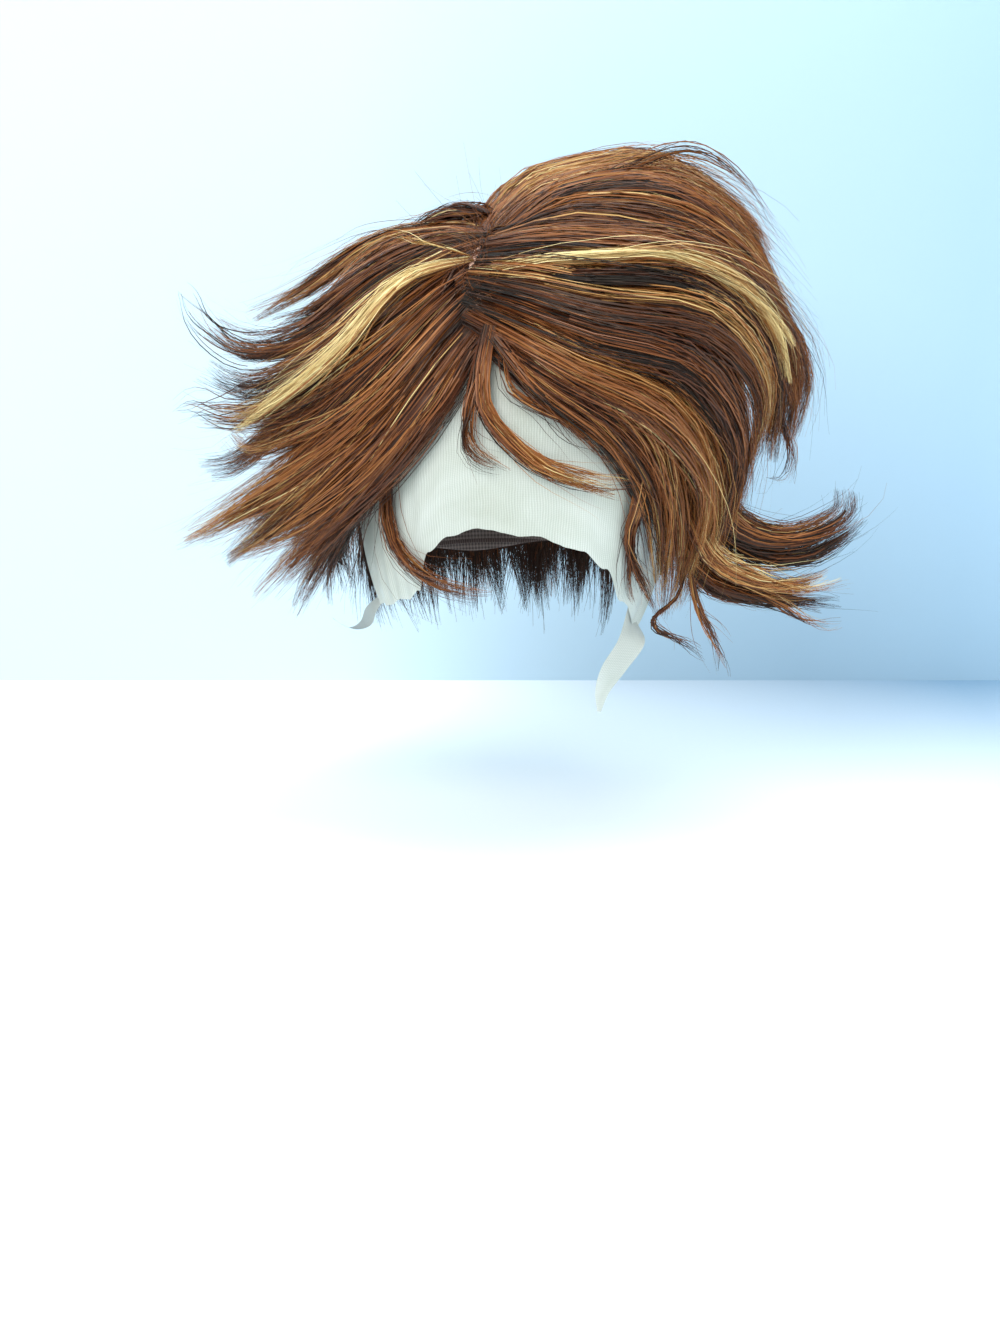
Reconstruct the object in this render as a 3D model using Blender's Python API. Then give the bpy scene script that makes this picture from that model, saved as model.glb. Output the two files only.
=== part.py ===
# Lace front wig: short layered hair swept to both sides of a side part, with two blond locks.
# Metres, +Z up. The face looks to -Y, and the origin is the middle of the head opening.

import math
from collections import namedtuple

import bmesh
import bpy
import numpy as np
from mathutils import Vector

mm = 0.001

# Head form that the cap is shaped on
head_half_width = 75 * mm
head_half_depth = 92 * mm
head_crown_height = 102 * mm
neck_taper = 0.56

# Walls and gaps
cap_wall = 1.5 * mm
lace_wall = 1.0 * mm
part_wall = 0.8 * mm
backing_wall = 3.7 * mm
nape_wall = 3.0 * mm
seat_gap = 0.3 * mm
clear_gap = 0.35 * mm
root_sink = 1.5 * mm

# Facets
cap_columns = 40
cap_rows = 7
lace_rows = 5
lock_sides = 6
lock_stations = 8
nape_locks = 6

# The lock tables are laid out as seen from an eye point, in a plane turned about the head's axis
lay_turn = math.radians(-13)
eye_distance = 903 * mm
eye_height = 126 * mm

Edge = namedtuple("Edge", "azimuth height")
Lock = namedtuple("Lock", "path wide thick")

# Lower edge of the cap on either side, as degrees from the front and mm up
cap_edge = [
    Edge(0, 54),
    Edge(36, 52),
    Edge(60, 34),
    Edge(76, -6),
    Edge(86, 5),
    Edge(98, 10),
    Edge(110, -4),
    Edge(124, -36),
    Edge(142, -56),
    Edge(180, -62),
]

# Lower edge of the lace, uncut, deeper at the sides, with a step beside the left eye
lace_edge = [
    Edge(-90, -68),
    Edge(-76, -66),
    Edge(-60, -60),
    Edge(-52, -53),
    Edge(-46, -34),
    Edge(-38, -26),
    Edge(-27, -21),
    Edge(-10, -24),
    Edge(8, -31),
    Edge(18, -41),
    Edge(30, -59),
    Edge(45, -73),
    Edge(62, -80),
    Edge(81, -82),
]
lace_ripple = 1.2 * mm
lace_ripples = 11

# The part, front to crown, as mm across and mm toward the eye in the laid-out plane
part_line = [(-14, 70), (-18, 52), (-17, 36), (-12, 20), (-8, 6)]
part_half_width = 2.2

# Plan regions of the hair backings, in mm across and toward, with the part between left and right
back_front = -30.0
part_edge = 2.6
left_region = [(across - part_edge, toward) for across, toward in part_line] + [
    (-8.4, -3), (-8.4, back_front + 0.6), (-105, back_front + 0.6), (-105, 105), (-14 - part_edge, 105)]
crown_region = [(-7.7, back_front + 0.6), (-7.7, -3), (-8 + part_edge, 6), (-12 + part_edge, 20),
                (-14.4 + part_edge, 28), (58, 28), (58, back_front + 0.6)]
right_region = [(-14.6 + part_edge, 28.6), (-17 + part_edge, 36), (-18 + part_edge, 52), (-14 + part_edge, 70),
                (-14 + part_edge, 105), (105, 105), (105, back_front + 0.6), (58.6, back_front + 0.6),
                (58.6, 28.6)]
back_region = [(-110, back_front), (110, back_front), (110, -120), (-110, -120)]
back_bottom = -28.4 * mm
region_floor = -120 * mm
region_top = 170 * mm
face_slope = -58
space_droop = 0.7

# Hair locks, one row each: places (across, up, toward) in mm from root to tip, then width and thickness in mm
left_locks = [
    Lock([(-20, 109, -14), (-44, 102, -24), (-68, 96, -30), (-98, 76, -32), (-123, 61, -30)], 18, 8),
    Lock([(-21, 104, -4), (-48, 95, -6), (-72, 80, -8), (-92, 67, -8), (-112, 58, -6)], 24, 12),
    Lock([(-22, 96, 8), (-55, 83, 8), (-95, 56, 6), (-125, 48, 2), (-142, 60, -2)], 26, 13),
    Lock([(-24, 89, 20), (-62, 69, 26), (-103, 38, 22), (-128, 31, 16), (-148, 42, 10)], 26, 14),
    Lock([(-25, 82, 34), (-65, 53, 44), (-105, 23, 34), (-130, 14, 26), (-150, 15, 20)], 26, 13),
    Lock([(-24, 76, 46), (-66, 38, 54), (-100, 12, 42), (-125, 1, 34), (-136, 12, 32)], 26, 13),
    Lock([(-23, 72, 56), (-62, 24, 64), (-100, -8, 48), (-138, -32, 34), (-161, -44, 28)], 26, 13),
    Lock([(-21, 66, 64), (-56, 10, 70), (-90, -22, 56), (-118, -41, 42), (-140, -53, 34)], 26, 13),
    Lock([(-18, 60, 72), (-44, 20, 79), (-76, -20, 62), (-104, -52, 44), (-123, -74, 36)], 22, 12),
    Lock([(-30, 46, 68), (-58, 2, 66), (-80, -35, 50), (-95, -58, 36), (-108, -81, 30)], 24, 12),
    Lock([(-44, 34, 50), (-68, -6, 50), (-82, -38, 34), (-88, -56, 24), (-90, -74, 20)], 24, 12),
    Lock([(-56, 20, 30), (-78, -8, 26), (-84, -34, 14), (-83, -52, 8), (-79, -68, 4)], 26, 12),
    Lock([(-36, 86, -14), (-78, 54, -18), (-108, 18, -14), (-131, -4, -10), (-150, -8, -6)], 30, 14),
    Lock([(-58, 50, -14), (-88, 18, -18), (-106, -18, -16), (-122, -40, -12), (-138, -56, -8)], 30, 14),
]
crown_locks = [
    Lock([(-1, 106, -24), (24, 126, -36), (66, 131, -40), (104, 111, -38), (124, 74, -30)], 22, 10),
    Lock([(-2, 102, -10), (28, 118, -14), (70, 121, -16), (106, 98, -12), (127, 58, -6)], 28, 14),
    Lock([(-3, 98, 4), (42, 109, 4), (96, 92, 6), (134, 46, 6), (130, 4, 4)], 28, 14),
    Lock([(-4, 96, 20), (36, 98, 26), (82, 92, 24), (116, 62, 20), (130, 22, 14)], 28, 13),
]
right_locks = [
    Lock([(-5, 88, 32), (40, 91, 42), (92, 80, 40), (125, 42, 30), (122, -6, 22)], 28, 13),
    Lock([(-6, 84, 40), (40, 77, 62), (92, 67, 58), (120, 28, 42), (108, -24, 30)], 28, 13),
    Lock([(-6, 78, 52), (38, 58, 76), (84, 44, 72), (108, 2, 52), (94, -56, 36)], 30, 15),
    Lock([(-7, 70, 62), (30, 44, 84), (72, 22, 80), (95, -18, 56), (84, -70, 42)], 28, 14),
    Lock([(-8, 60, 70), (20, 32, 90), (50, 9, 86), (70, -30, 66), (72, -84, 48)], 18, 10),
    Lock([(62, 50, 22), (96, 14, 20), (102, -22, 16), (96, -48, 12), (86, -74, 10)], 32, 18),
    Lock([(62, 50, -12), (98, 16, -18), (102, -20, -22), (94, -46, -24), (86, -70, -26)], 32, 18),
    Lock([(86, 4, 40), (104, -33, 36), (134, -43, 30), (160, -30, 26), (158, -11, 24)], 16, 10),
    Lock([(88, -8, 28), (110, -43, 28), (138, -50, 24), (160, -40, 20), (174, -28, 18)], 14, 8),
    Lock([(82, -20, 46), (96, -51, 44), (118, -63, 38), (140, -65, 32), (158, -59, 28)], 16, 9),
    Lock([(82, -30, 34), (94, -58, 34), (118, -68, 30), (142, -72, 26), (162, -74, 24)], 16, 8),
]
back_locks = [
    Lock([(-34, 88, -36), (-66, 60, -56), (-88, 20, -60), (-97, -20, -56), (-106, -50, -52)], 32, 15),
    Lock([(-28, 92, -42), (-52, 62, -78), (-68, 16, -88), (-74, -26, -84), (-76, -62, -82)], 34, 15),
    Lock([(-18, 94, -46), (-30, 64, -92), (-42, 14, -106), (-46, -30, -100), (-46, -68, -96)], 34, 15),
    Lock([(-6, 94, -48), (-8, 64, -98), (-13, 12, -112), (-14, -34, -106), (-14, -72, -100)], 34, 15),
    Lock([(8, 94, -48), (16, 64, -96), (20, 12, -108), (18, -34, -102), (18, -72, -96)], 34, 15),
    Lock([(18, 92, -46), (44, 60, -86), (54, 10, -94), (52, -32, -90), (48, -70, -86)], 34, 15),
    Lock([(28, 88, -40), (68, 58, -66), (84, 10, -70), (82, -32, -68), (76, -68, -66)], 34, 16),
    Lock([(20, 96, -38), (62, 96, -54), (98, 62, -50), (108, 18, -44), (102, -22, -40)], 32, 15),
    Lock([(6, 98, -38), (30, 114, -58), (62, 113, -64), (92, 88, -61), (108, 48, -54)], 30, 14),
]
forelock = Lock([(-11, 60, 75), (-17, 30, 88), (-21, 12, 92), (0, 0, 97), (28, -13, 96), (59, -17, 88)], 7, 4)
face_lock_left = Lock(
    [(-38, 30, 76), (-54, 6, 71), (-61, -18, 62), (-58, -44, 64), (-44, -61, 76), (-24, -69, 88), (-8, -70, 95)],
    6, 4)
face_lock_right = Lock([(66, 4, 72), (61, -26, 74), (57, -44, 72), (62, -65, 64), (68, -77, 56)], 7, 4)
highlight_left = Lock(
    [(-30, 88, 36), (-62, 72, 46), (-80, 50, 50), (-98, 34, 46), (-119, 22, 38), (-136, 11, 32)], 11, 6)
highlight_right = Lock(
    [(6, 88, 46), (40, 91, 50), (74, 92, 46), (104, 78, 42), (124, 57, 36), (132, 32, 28)], 11, 6)

# Lock form along its length, as a share of its full width, from root to tip
root_share = 0.72
belly_at = 0.35
tip_share = 0.16

# Nape hair, a fringe of short locks along the lower edge of the cap's back
nape_from = 122
nape_to = 238
nape_top = -29 * mm
nape_tip = -88 * mm
nape_tip_share = 0.78
nape_spread = 6 * mm
nape_lock_wide = 29 * mm
nape_lock_thick = 7 * mm

# Hanging lace ends: rows of (left edge place, right edge place) below the lace's lower edge
left_tab_azimuths = (-90, -80)
left_tab_rows = [
    ((-71, -76, -4), (-66, -78, 9)),
    ((-74, -83, -3), (-69, -85, 9)),
    ((-80, -86, -1), (-77, -87, 10)),
    ((-88, -81, 2), (-87, -82, 9)),
]
right_tab_azimuths = (36, 54)
right_tab_rows = [
    ((52, -92, 50), (65, -94, 42)),
    ((44, -106, 50), (56, -108, 43)),
    ((41, -118, 48), (48, -119, 44)),
    ((42, -129, 46), (44, -129, 45)),
]


def on_dome(azimuth, slope, offset):
    # Point of the head form: degrees round from the front, degrees above the opening, metres outwards
    turn = math.radians(azimuth)
    rise = math.radians(slope)
    reach = math.cos(rise) if slope >= 0 else 1 - neck_taper * (1 - math.cos(rise))
    return Vector((
        (head_half_width + offset) * reach * math.sin(turn),
        -(head_half_depth + offset) * reach * math.cos(turn),
        (head_crown_height + offset) * math.sin(rise),
    ))


def slope_at(height):
    return math.degrees(math.asin(height / head_crown_height))


def edge_height(table, azimuth):
    # Eases from one row of an edge table to the next
    for low, high in zip(table, table[1:]):
        if azimuth <= high.azimuth:
            t = max(0, (azimuth - low.azimuth) / (high.azimuth - low.azimuth))
            return (low.height + (high.height - low.height) * t * t * (3 - 2 * t)) * mm
    return table[-1].height * mm


def in_plan(across, toward):
    # Laid-out plane to the wig's own axes
    return (
        across * math.cos(lay_turn) + toward * math.sin(lay_turn),
        across * math.sin(lay_turn) - toward * math.cos(lay_turn),
    )


def place(across, up, toward):
    # A table's place, in mm as seen, to a point in metres
    nearer = (eye_distance - toward * mm) / eye_distance
    x, y = in_plan(across * mm * nearer, toward * mm)
    return Vector((x, y, eye_height + (up * mm - eye_height) * nearer))


def material(name, colour, roughness):
    made = bpy.data.materials.new(name)
    made.use_nodes = True
    shader = made.node_tree.nodes["Principled BSDF"]
    shader.inputs["Base Color"].default_value = (*colour, 1)
    shader.inputs["Roughness"].default_value = roughness
    shader.inputs["Metallic"].default_value = 0
    return made


def new_object(name, vertices, faces, look=None):
    mesh = bpy.data.meshes.new(name)
    mesh.from_pydata([tuple(v) for v in vertices], [], faces)
    body = bmesh.new()
    body.from_mesh(mesh)
    bmesh.ops.recalc_face_normals(body, faces=body.faces)
    body.to_mesh(mesh)
    body.free()
    made = bpy.data.objects.new(name, mesh)
    bpy.context.scene.collection.objects.link(made)
    if look:
        mesh.materials.append(look)
    return made


def halves(a, b, c, d):
    # A quad as two triangles, split the same way everywhere, so that offset copies stay parallel
    return [a, b, c], [a, c, d]


def two_sided(name, inner, outer, look, closed_round=False):
    # Solid sheet between two grids of points, rows by columns; a closed round one has a pole on top
    rows = len(inner)
    columns = len(inner[0])
    vertices = [p for grid in (inner, outer) for row in grid for p in row]
    side = rows * columns
    faces = []
    wraps = columns if closed_round else columns - 1
    for r in range(rows - 1):
        for c in range(wraps):
            n = (c + 1) % columns
            for half in halves(r * columns + c, r * columns + n, (r + 1) * columns + n, (r + 1) * columns + c):
                faces.append(half)
                faces.append([side + i for i in reversed(half)])
    if closed_round:
        rim = [(rows - 1) * columns + c for c in range(columns)]
        for i, top in enumerate((inner, outer)):
            vertices.append(sum((Vector(p) for p in top[0]), Vector()) / columns + Vector((0, 0, 0.4 * mm)))
            for c in range(columns):
                faces.append([len(vertices) - 1, i * side + c, i * side + (c + 1) % columns])
    else:
        rim = list(range(columns))
        rim += [r * columns + columns - 1 for r in range(1, rows)]
        rim += [(rows - 1) * columns + c for c in range(columns - 2, -1, -1)]
        rim += [r * columns for r in range(rows - 2, 0, -1)]
    for i, a in enumerate(rim):
        b = rim[(i + 1) % len(rim)]
        faces.append([a, b, side + b, side + a])
    return new_object(name, vertices, faces, look)


def dome_rings(offset, below=0):
    # Rings of points from near the crown to the cap's edge, and then in a few more rings past the face
    azimuths = [-180 + 360 * c / cap_columns for c in range(cap_columns)]
    droop = space_droop if below else 0
    bottoms = [slope_at(cap_edge_height(a)) - droop for a in azimuths]
    rings = []
    for r in range(1, cap_rows + 1):
        rings.append([on_dome(a, 90 - (90 - b) * r / cap_rows, offset) for a, b in zip(azimuths, bottoms)])
    for r in range(1, below + 1):
        rings.append([on_dome(a, b + (face_slope - b) * r / below, offset) for a, b in zip(azimuths, bottoms)])
    return rings


def dome_shell(name, low, high, look=None):
    # Shell over the head form between two offsets, down to the cap's edge
    return two_sided(name, dome_rings(low), dome_rings(high), look, closed_round=True)


def head_space(name, offset):
    # Solid of the head form, which hair stays out of
    rings = dome_rings(offset, below=lace_rows)
    vertices = [p for ring in rings for p in ring] + [on_dome(0, 90, offset)]
    top = len(vertices) - 1
    faces = [[top, c, (c + 1) % cap_columns] for c in range(cap_columns)]
    for r in range(len(rings) - 1):
        for c in range(cap_columns):
            a = r * cap_columns
            n = (c + 1) % cap_columns
            faces += halves(a + c, a + n, a + cap_columns + n, a + cap_columns + c)
    faces.append([(len(rings) - 1) * cap_columns + c for c in range(cap_columns)])
    return new_object(name, vertices, faces)


def grown(outline, margin):
    # Outline in mm with each side moved outwards
    area = sum(a[0] * b[1] - b[0] * a[1] for a, b in zip(outline, outline[1:] + outline[:1]))
    points = outline if area > 0 else outline[::-1]
    moved = []
    for i, here in enumerate(points):
        before = Vector(here) - Vector(points[i - 1])
        after = Vector(points[(i + 1) % len(points)]) - Vector(here)
        first = Vector((before.y, -before.x)).normalized()
        second = Vector((after.y, -after.x)).normalized()
        moved.append(Vector(here) + (first + second) * margin / (1 + first.dot(second)))
    return moved


def column_over(name, outline, margin, low, high):
    # Upright prism over a plan region, between two heights
    corners = [in_plan(across * mm, toward * mm) for across, toward in grown(outline, margin / mm)]
    count = len(corners)
    vertices = [(x, y, z) for z in (low - margin, high + margin) for x, y in corners]
    faces = [list(range(count)), list(range(count, 2 * count))]
    faces += [[i, (i + 1) % count, count + (i + 1) % count, count + i] for i in range(count)]
    return new_object(name, vertices, faces)


def smooth_path(places, count):
    # Evenly spaced points of a smooth curve through the places
    points = [np.array(place(*p)) for p in places]
    points = [2 * points[0] - points[1]] + points + [2 * points[-1] - points[-2]]
    fine = []
    for a, b, c, d in zip(points, points[1:], points[2:], points[3:]):
        for t in np.linspace(0, 1, 12, endpoint=False):
            fine.append(0.5 * (2 * b + (c - a) * t + (2 * a - 5 * b + 4 * c - d) * t**2
                               + (3 * b - a - 3 * c + d) * t**3))
    fine = np.array(fine + [points[-2]])
    along = np.concatenate([[0], np.cumsum(np.linalg.norm(np.diff(fine, axis=0), axis=1))])
    wanted = np.linspace(0, along[-1], count)
    return [Vector([np.interp(w, along, fine[:, k]) for k in range(3)]) for w in wanted]


def lock_share(t, tip):
    # Width of a lock along its length: swells from the root to the belly, then tapers to the tip
    if t < belly_at:
        return root_share + (1 - root_share) * math.sin(0.5 * math.pi * t / belly_at)
    fall = (t - belly_at) / (1 - belly_at)
    return 1 - (1 - tip) * fall**1.5


def loft(name, path, wide, thick, margin=0, tip=tip_share):
    # Closed tapering body round a path, flat towards the head at its root
    count = len(path)
    tangents = [(path[min(i + 1, count - 1)] - path[max(i - 1, 0)]).normalized() for i in range(count)]
    outwards = Vector((path[0].x, path[0].y, path[0].z - 20 * mm))
    vertices = []
    for i, centre in enumerate(path):
        along = tangents[i]
        outwards = (outwards - along * outwards.dot(along)).normalized()
        across = along.cross(outwards)
        share = lock_share(i / (count - 1), tip)
        for s in range(lock_sides):
            turn = 2 * math.pi * (s + 0.5) / lock_sides
            reach = across * math.cos(turn) * (wide / 2 * share + margin)
            lift = outwards * math.sin(turn) * (thick / 2 * share + margin)
            over = along * margin * (1 if i == count - 1 else -1 if i == 0 else 0)
            vertices.append(centre + reach + lift + over)
    faces = [list(range(lock_sides)), [(count - 1) * lock_sides + s for s in range(lock_sides)]]
    for i in range(count - 1):
        for s in range(lock_sides):
            n = (s + 1) % lock_sides
            a = i * lock_sides
            faces += halves(a + s, a + n, a + lock_sides + n, a + lock_sides + s)
    return new_object(name, vertices, faces)


def lock_body(lock, margin=0):
    stations = lock_stations + 2 * (len(lock.path) - 5)
    return loft("lock", smooth_path(lock.path, stations), lock.wide * mm, lock.thick * mm, margin)


def combine(body, operation, others):
    # Boolean of a body with all the others at once, which are used up
    if not others:
        return
    group = bpy.data.collections.new("operands")
    bpy.context.scene.collection.children.link(group)
    for other in others:
        group.objects.link(other)
    cut = body.modifiers.new(operation.lower(), "BOOLEAN")
    cut.operation = operation
    cut.operand_type = "COLLECTION"
    cut.collection = group
    cut.solver = "EXACT"
    bpy.context.view_layer.update()
    graph = bpy.context.evaluated_depsgraph_get()
    result = bpy.data.meshes.new_from_object(body.evaluated_get(graph))
    body.modifiers.clear()
    body.data = result
    for other in others:
        bpy.data.objects.remove(other)
    bpy.data.collections.remove(group)


def tidy_body(body, look):
    # One clean triangulated body: the largest one, without slivers
    work = bmesh.new()
    work.from_mesh(body.data)
    spare = [v for v in work.verts if len(v.link_edges) == 2]
    bmesh.ops.dissolve_verts(work, verts=spare)
    bmesh.ops.triangulate(work, faces=work.faces)
    by_corners = {}
    for face in work.faces:
        by_corners.setdefault(frozenset(face.verts), []).append(face)
    doubled = [face for faces in by_corners.values() if len(faces) == 2 for face in faces]
    bmesh.ops.delete(work, geom=doubled, context="FACES")
    islands = []
    unseen = set(work.verts)
    while unseen:
        island = set()
        edge = [unseen.pop()]
        while edge:
            here = edge.pop()
            island.add(here)
            for link in here.link_edges:
                there = link.other_vert(here)
                if there in unseen:
                    unseen.discard(there)
                    edge.append(there)
        islands.append(island)
    islands.sort(key=len)
    for island in islands[:-1]:
        bmesh.ops.delete(work, geom=list(island), context="VERTS")
    bmesh.ops.recalc_face_normals(work, faces=work.faces)
    mesh = bpy.data.meshes.new(body.name)
    work.to_mesh(mesh)
    work.free()
    mesh.materials.append(look)
    body.data = mesh
    mesh.shade_smooth()
    mesh.set_sharp_from_angle(angle=math.radians(40))


def cap_edge_height(azimuth):
    return edge_height(cap_edge, abs(azimuth))


def backing(region, margin=0):
    # Shell that carries the locks of one region, just off the cap
    outline, low, high, wall = region
    shell = dome_shell("backing", cap_wall + seat_gap, cap_wall + seat_gap + wall + margin)
    combine(shell, "INTERSECT", [column_over("region", outline, margin, low, high)])
    return shell


def hair_clearance(sections):
    # Slightly larger copies of the named sections, for cutting their neighbours
    copies = []
    for region, locks in sections:
        copies.append(backing(region, clear_gap))
        copies += [lock_body(lock, clear_gap) for lock in locks]
    return copies


def fused_locks(name, locks):
    # The locks as one body, cut off inside the backing's wall
    combine(locks[0], "UNION", locks[1:])
    combine(locks[0], "DIFFERENCE", [head_space("head", cap_wall + seat_gap + root_sink)])
    locks[0].name = name
    return locks[0]


def hair_section(name, region, locks, look, neighbours):
    body = fused_locks(name, locks)
    combine(body, "UNION", [backing(region)])
    combine(body, "DIFFERENCE", hair_clearance(neighbours))
    tidy_body(body, look)


def single_lock(name, lock, look):
    tidy_body(fused_locks(name, [lock_body(lock)]), look)


def nape_lock(index):
    # One short lock that runs down the nape and turns out a little
    azimuth = nape_from + 7 + (nape_to - nape_from - 14) * index / (nape_locks - 1)
    tip_height = nape_tip * (0.92 + 0.08 * math.cos(2.4 * index))
    path = []
    for i in range(5):
        t = i / 4
        height = nape_top - 6 * mm + (tip_height - nape_top) * t
        lift = cap_wall + 4 * mm + nape_spread * t * t
        path.append(on_dome(azimuth, slope_at(height), lift))
    return loft("nape_lock", path, nape_lock_wide, nape_lock_thick, tip=nape_tip_share)


def below_lace(azimuth):
    # Point just under the lace's lower edge, on the straight run between two of its columns
    step = 360 / cap_columns
    column = math.floor(azimuth / step)
    ends = []
    for a in (column * step, (column + 1) * step):
        height = edge_height(lace_edge, a) - 2 * seat_gap
        ends.append(on_dome(a, slope_at(height), lace_wall / 2))
    return ends[0].lerp(ends[1], azimuth / step - column)


def hanging_lace(name, azimuths, rows, look):
    # Lace end that leaves the lower edge of the lace and hangs free
    count = 5
    grid = [[below_lace(azimuths[0] + (azimuths[1] - azimuths[0]) * c / (count - 1)) for c in range(count)]]
    for left, right in rows:
        grid.append([place(*left).lerp(place(*right), c / (count - 1)) for c in range(count)])
    sides = ([], [])
    for r, row in enumerate(grid):
        for side in sides:
            side.append([])
        for c, point in enumerate(row):
            down = grid[min(r + 1, len(grid) - 1)][c] - grid[max(r - 1, 0)][c]
            over = row[min(c + 1, count - 1)] - row[max(c - 1, 0)]
            normal = down.cross(over).normalized() * lace_wall / 2
            sides[0][-1].append(point - normal)
            sides[1][-1].append(point + normal)
    two_sided(name, sides[0], sides[1], look)


def make_cap(look):
    dome_shell("wig_cap", 0, cap_wall, look)


def make_lace(look):
    first = lace_edge[0].azimuth
    columns = round((lace_edge[-1].azimuth - first) * cap_columns / 360)
    grids = []
    for low in (0, lace_wall):
        grid = []
        for r in range(lace_rows + 1):
            row = []
            t = r / lace_rows
            for c in range(columns + 1):
                azimuth = first + 360 * c / cap_columns
                top = slope_at(cap_edge_height(azimuth) - 2 * seat_gap)
                bottom = slope_at(edge_height(lace_edge, azimuth))
                ripple = lace_ripple * t * t * (0.5 + 0.5 * math.sin(lace_ripples * math.pi * c / columns))
                row.append(on_dome(azimuth, top + (bottom - top) * t, low + ripple))
            grid.append(row)
        grids.append(grid)
    two_sided("lace_front", grids[0], grids[1], look)


def part_region():
    left = [(across - part_half_width, toward) for across, toward in part_line]
    right = [(across + part_half_width, toward) for across, toward in reversed(part_line)]
    return left + right, 0, region_top, part_wall


def make_part_strip(look):
    # Strip of knotted base along the part, on the cap
    strip = backing(part_region())
    strip.name = "part_strip"
    tidy_body(strip, look)


def build():
    for old in list(bpy.data.objects):
        bpy.data.objects.remove(old)

    copper = material("copper_hair", (0.26, 0.09, 0.03), 0.45)
    dark = material("dark_hair", (0.035, 0.012, 0.008), 0.5)
    blond = material("blond_hair", (0.78, 0.55, 0.22), 0.4)
    net = material("cap_net", (0.12, 0.08, 0.06), 0.8)
    lace = material("sheer_lace", (0.62, 0.64, 0.52), 0.7)
    scalp = material("knotted_base", (0.70, 0.50, 0.40), 0.7)

    make_cap(net)
    make_lace(lace)
    hanging_lace("lace_tab_left", left_tab_azimuths, left_tab_rows, lace)
    hanging_lace("lace_tab_right", right_tab_azimuths, right_tab_rows, lace)
    make_part_strip(scalp)

    small = {
        "highlight_left": (highlight_left, blond),
        "highlight_right": (highlight_right, blond),
        "forelock": (forelock, copper),
        "face_lock_left": (face_lock_left, dark),
        "face_lock_right": (face_lock_right, copper),
    }
    for name, (lock, look) in small.items():
        single_lock(name, lock, look)

    # Each section is cut clear of the ones made before it
    made = [(part_region(), [lock for lock, look in small.values()])]
    sections = [
        ("hair_right", right_region, right_locks),
        ("hair_left", left_region, left_locks),
        ("hair_crown", crown_region, crown_locks),
        ("hair_back", back_region, back_locks),
    ]
    for name, outline, locks in sections:
        low = back_bottom if name == "hair_back" else region_floor
        region = (outline, low, region_top, backing_wall)
        hair_section(name, region, [lock_body(lock) for lock in locks], copper, made)
        made.append((region, locks))
    nape_region = (back_region, region_floor, nape_top, nape_wall)
    hair_section("hair_nape", nape_region, [nape_lock(i) for i in range(nape_locks)], dark, made)


build()
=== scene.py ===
import math
from collections import namedtuple

import bpy
import numpy as np
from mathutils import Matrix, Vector


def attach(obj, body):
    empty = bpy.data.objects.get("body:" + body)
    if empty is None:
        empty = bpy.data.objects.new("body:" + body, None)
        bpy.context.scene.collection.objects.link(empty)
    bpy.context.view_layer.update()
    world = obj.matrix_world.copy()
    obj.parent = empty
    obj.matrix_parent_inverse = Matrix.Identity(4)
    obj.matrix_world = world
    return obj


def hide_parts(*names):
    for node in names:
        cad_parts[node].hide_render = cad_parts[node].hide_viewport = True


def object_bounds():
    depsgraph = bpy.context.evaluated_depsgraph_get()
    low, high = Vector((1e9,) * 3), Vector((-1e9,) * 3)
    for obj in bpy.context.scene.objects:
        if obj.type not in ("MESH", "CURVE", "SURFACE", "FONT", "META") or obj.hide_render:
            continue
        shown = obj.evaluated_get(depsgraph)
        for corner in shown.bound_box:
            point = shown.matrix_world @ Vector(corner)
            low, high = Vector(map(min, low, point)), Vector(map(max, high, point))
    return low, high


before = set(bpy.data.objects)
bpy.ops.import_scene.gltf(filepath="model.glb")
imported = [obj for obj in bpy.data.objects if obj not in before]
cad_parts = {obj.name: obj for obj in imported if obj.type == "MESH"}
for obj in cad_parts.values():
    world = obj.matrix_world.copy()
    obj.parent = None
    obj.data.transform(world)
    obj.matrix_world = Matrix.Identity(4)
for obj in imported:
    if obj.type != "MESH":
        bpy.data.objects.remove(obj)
cadLow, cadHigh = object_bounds()
mm = 0.001
fullTurn = 2 * math.pi
Lock = namedtuple("Lock", "path wide thick tone tipTone")  # places in mm as seen, sizes in mm, tones 0 to 1
Edge = namedtuple("Edge", "azimuth height")  # degrees from the front, mm up

layout = {
    "turn": math.radians(-13),  # plane that the lock tables are laid out in
    "eyeDistance": 903 * mm,
    "eyeHeight": 126 * mm,
}

domeForm = {
    "halfWidth": 75 * mm,
    "halfDepth": 92 * mm,
    "crownHeight": 102 * mm,
    "neckTaper": 0.56,
}


def inPlan(across, toward):
    turn = layout["turn"]
    return (
        across * math.cos(turn) + toward * math.sin(turn),
        across * math.sin(turn) - toward * math.cos(turn),
    )


def place(across, up, toward):  # mm as seen, to metres
    nearer = (layout["eyeDistance"] - toward * mm) / layout["eyeDistance"]
    x, y = inPlan(across * mm * nearer, toward * mm)
    return np.array((x, y, layout["eyeHeight"] + (up * mm - layout["eyeHeight"]) * nearer))


# Camera and stage
camera = {
    "across": -5.7,  # mm beside the wig's axis
    "tilt": 14.4,  # degrees down
    "pixels": 1895,  # lens, in pixels of a frame 1333 high
}

stage = {
    "floorHeight": -184 * mm,
    "wallToward": -269 * mm,
    "floorTone": (0.90, 0.93, 0.95),
    "floorShade": (0.20, 0.33, 0.46),  # painted shade, on the right, near the wall
    "wallTone": (0.56, 0.70, 0.79),
    "wallShade": (0.355, 0.505, 0.62),  # painted shade, on the right
    "size": 5.0,
    "wallHeight": 3,
}

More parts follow.
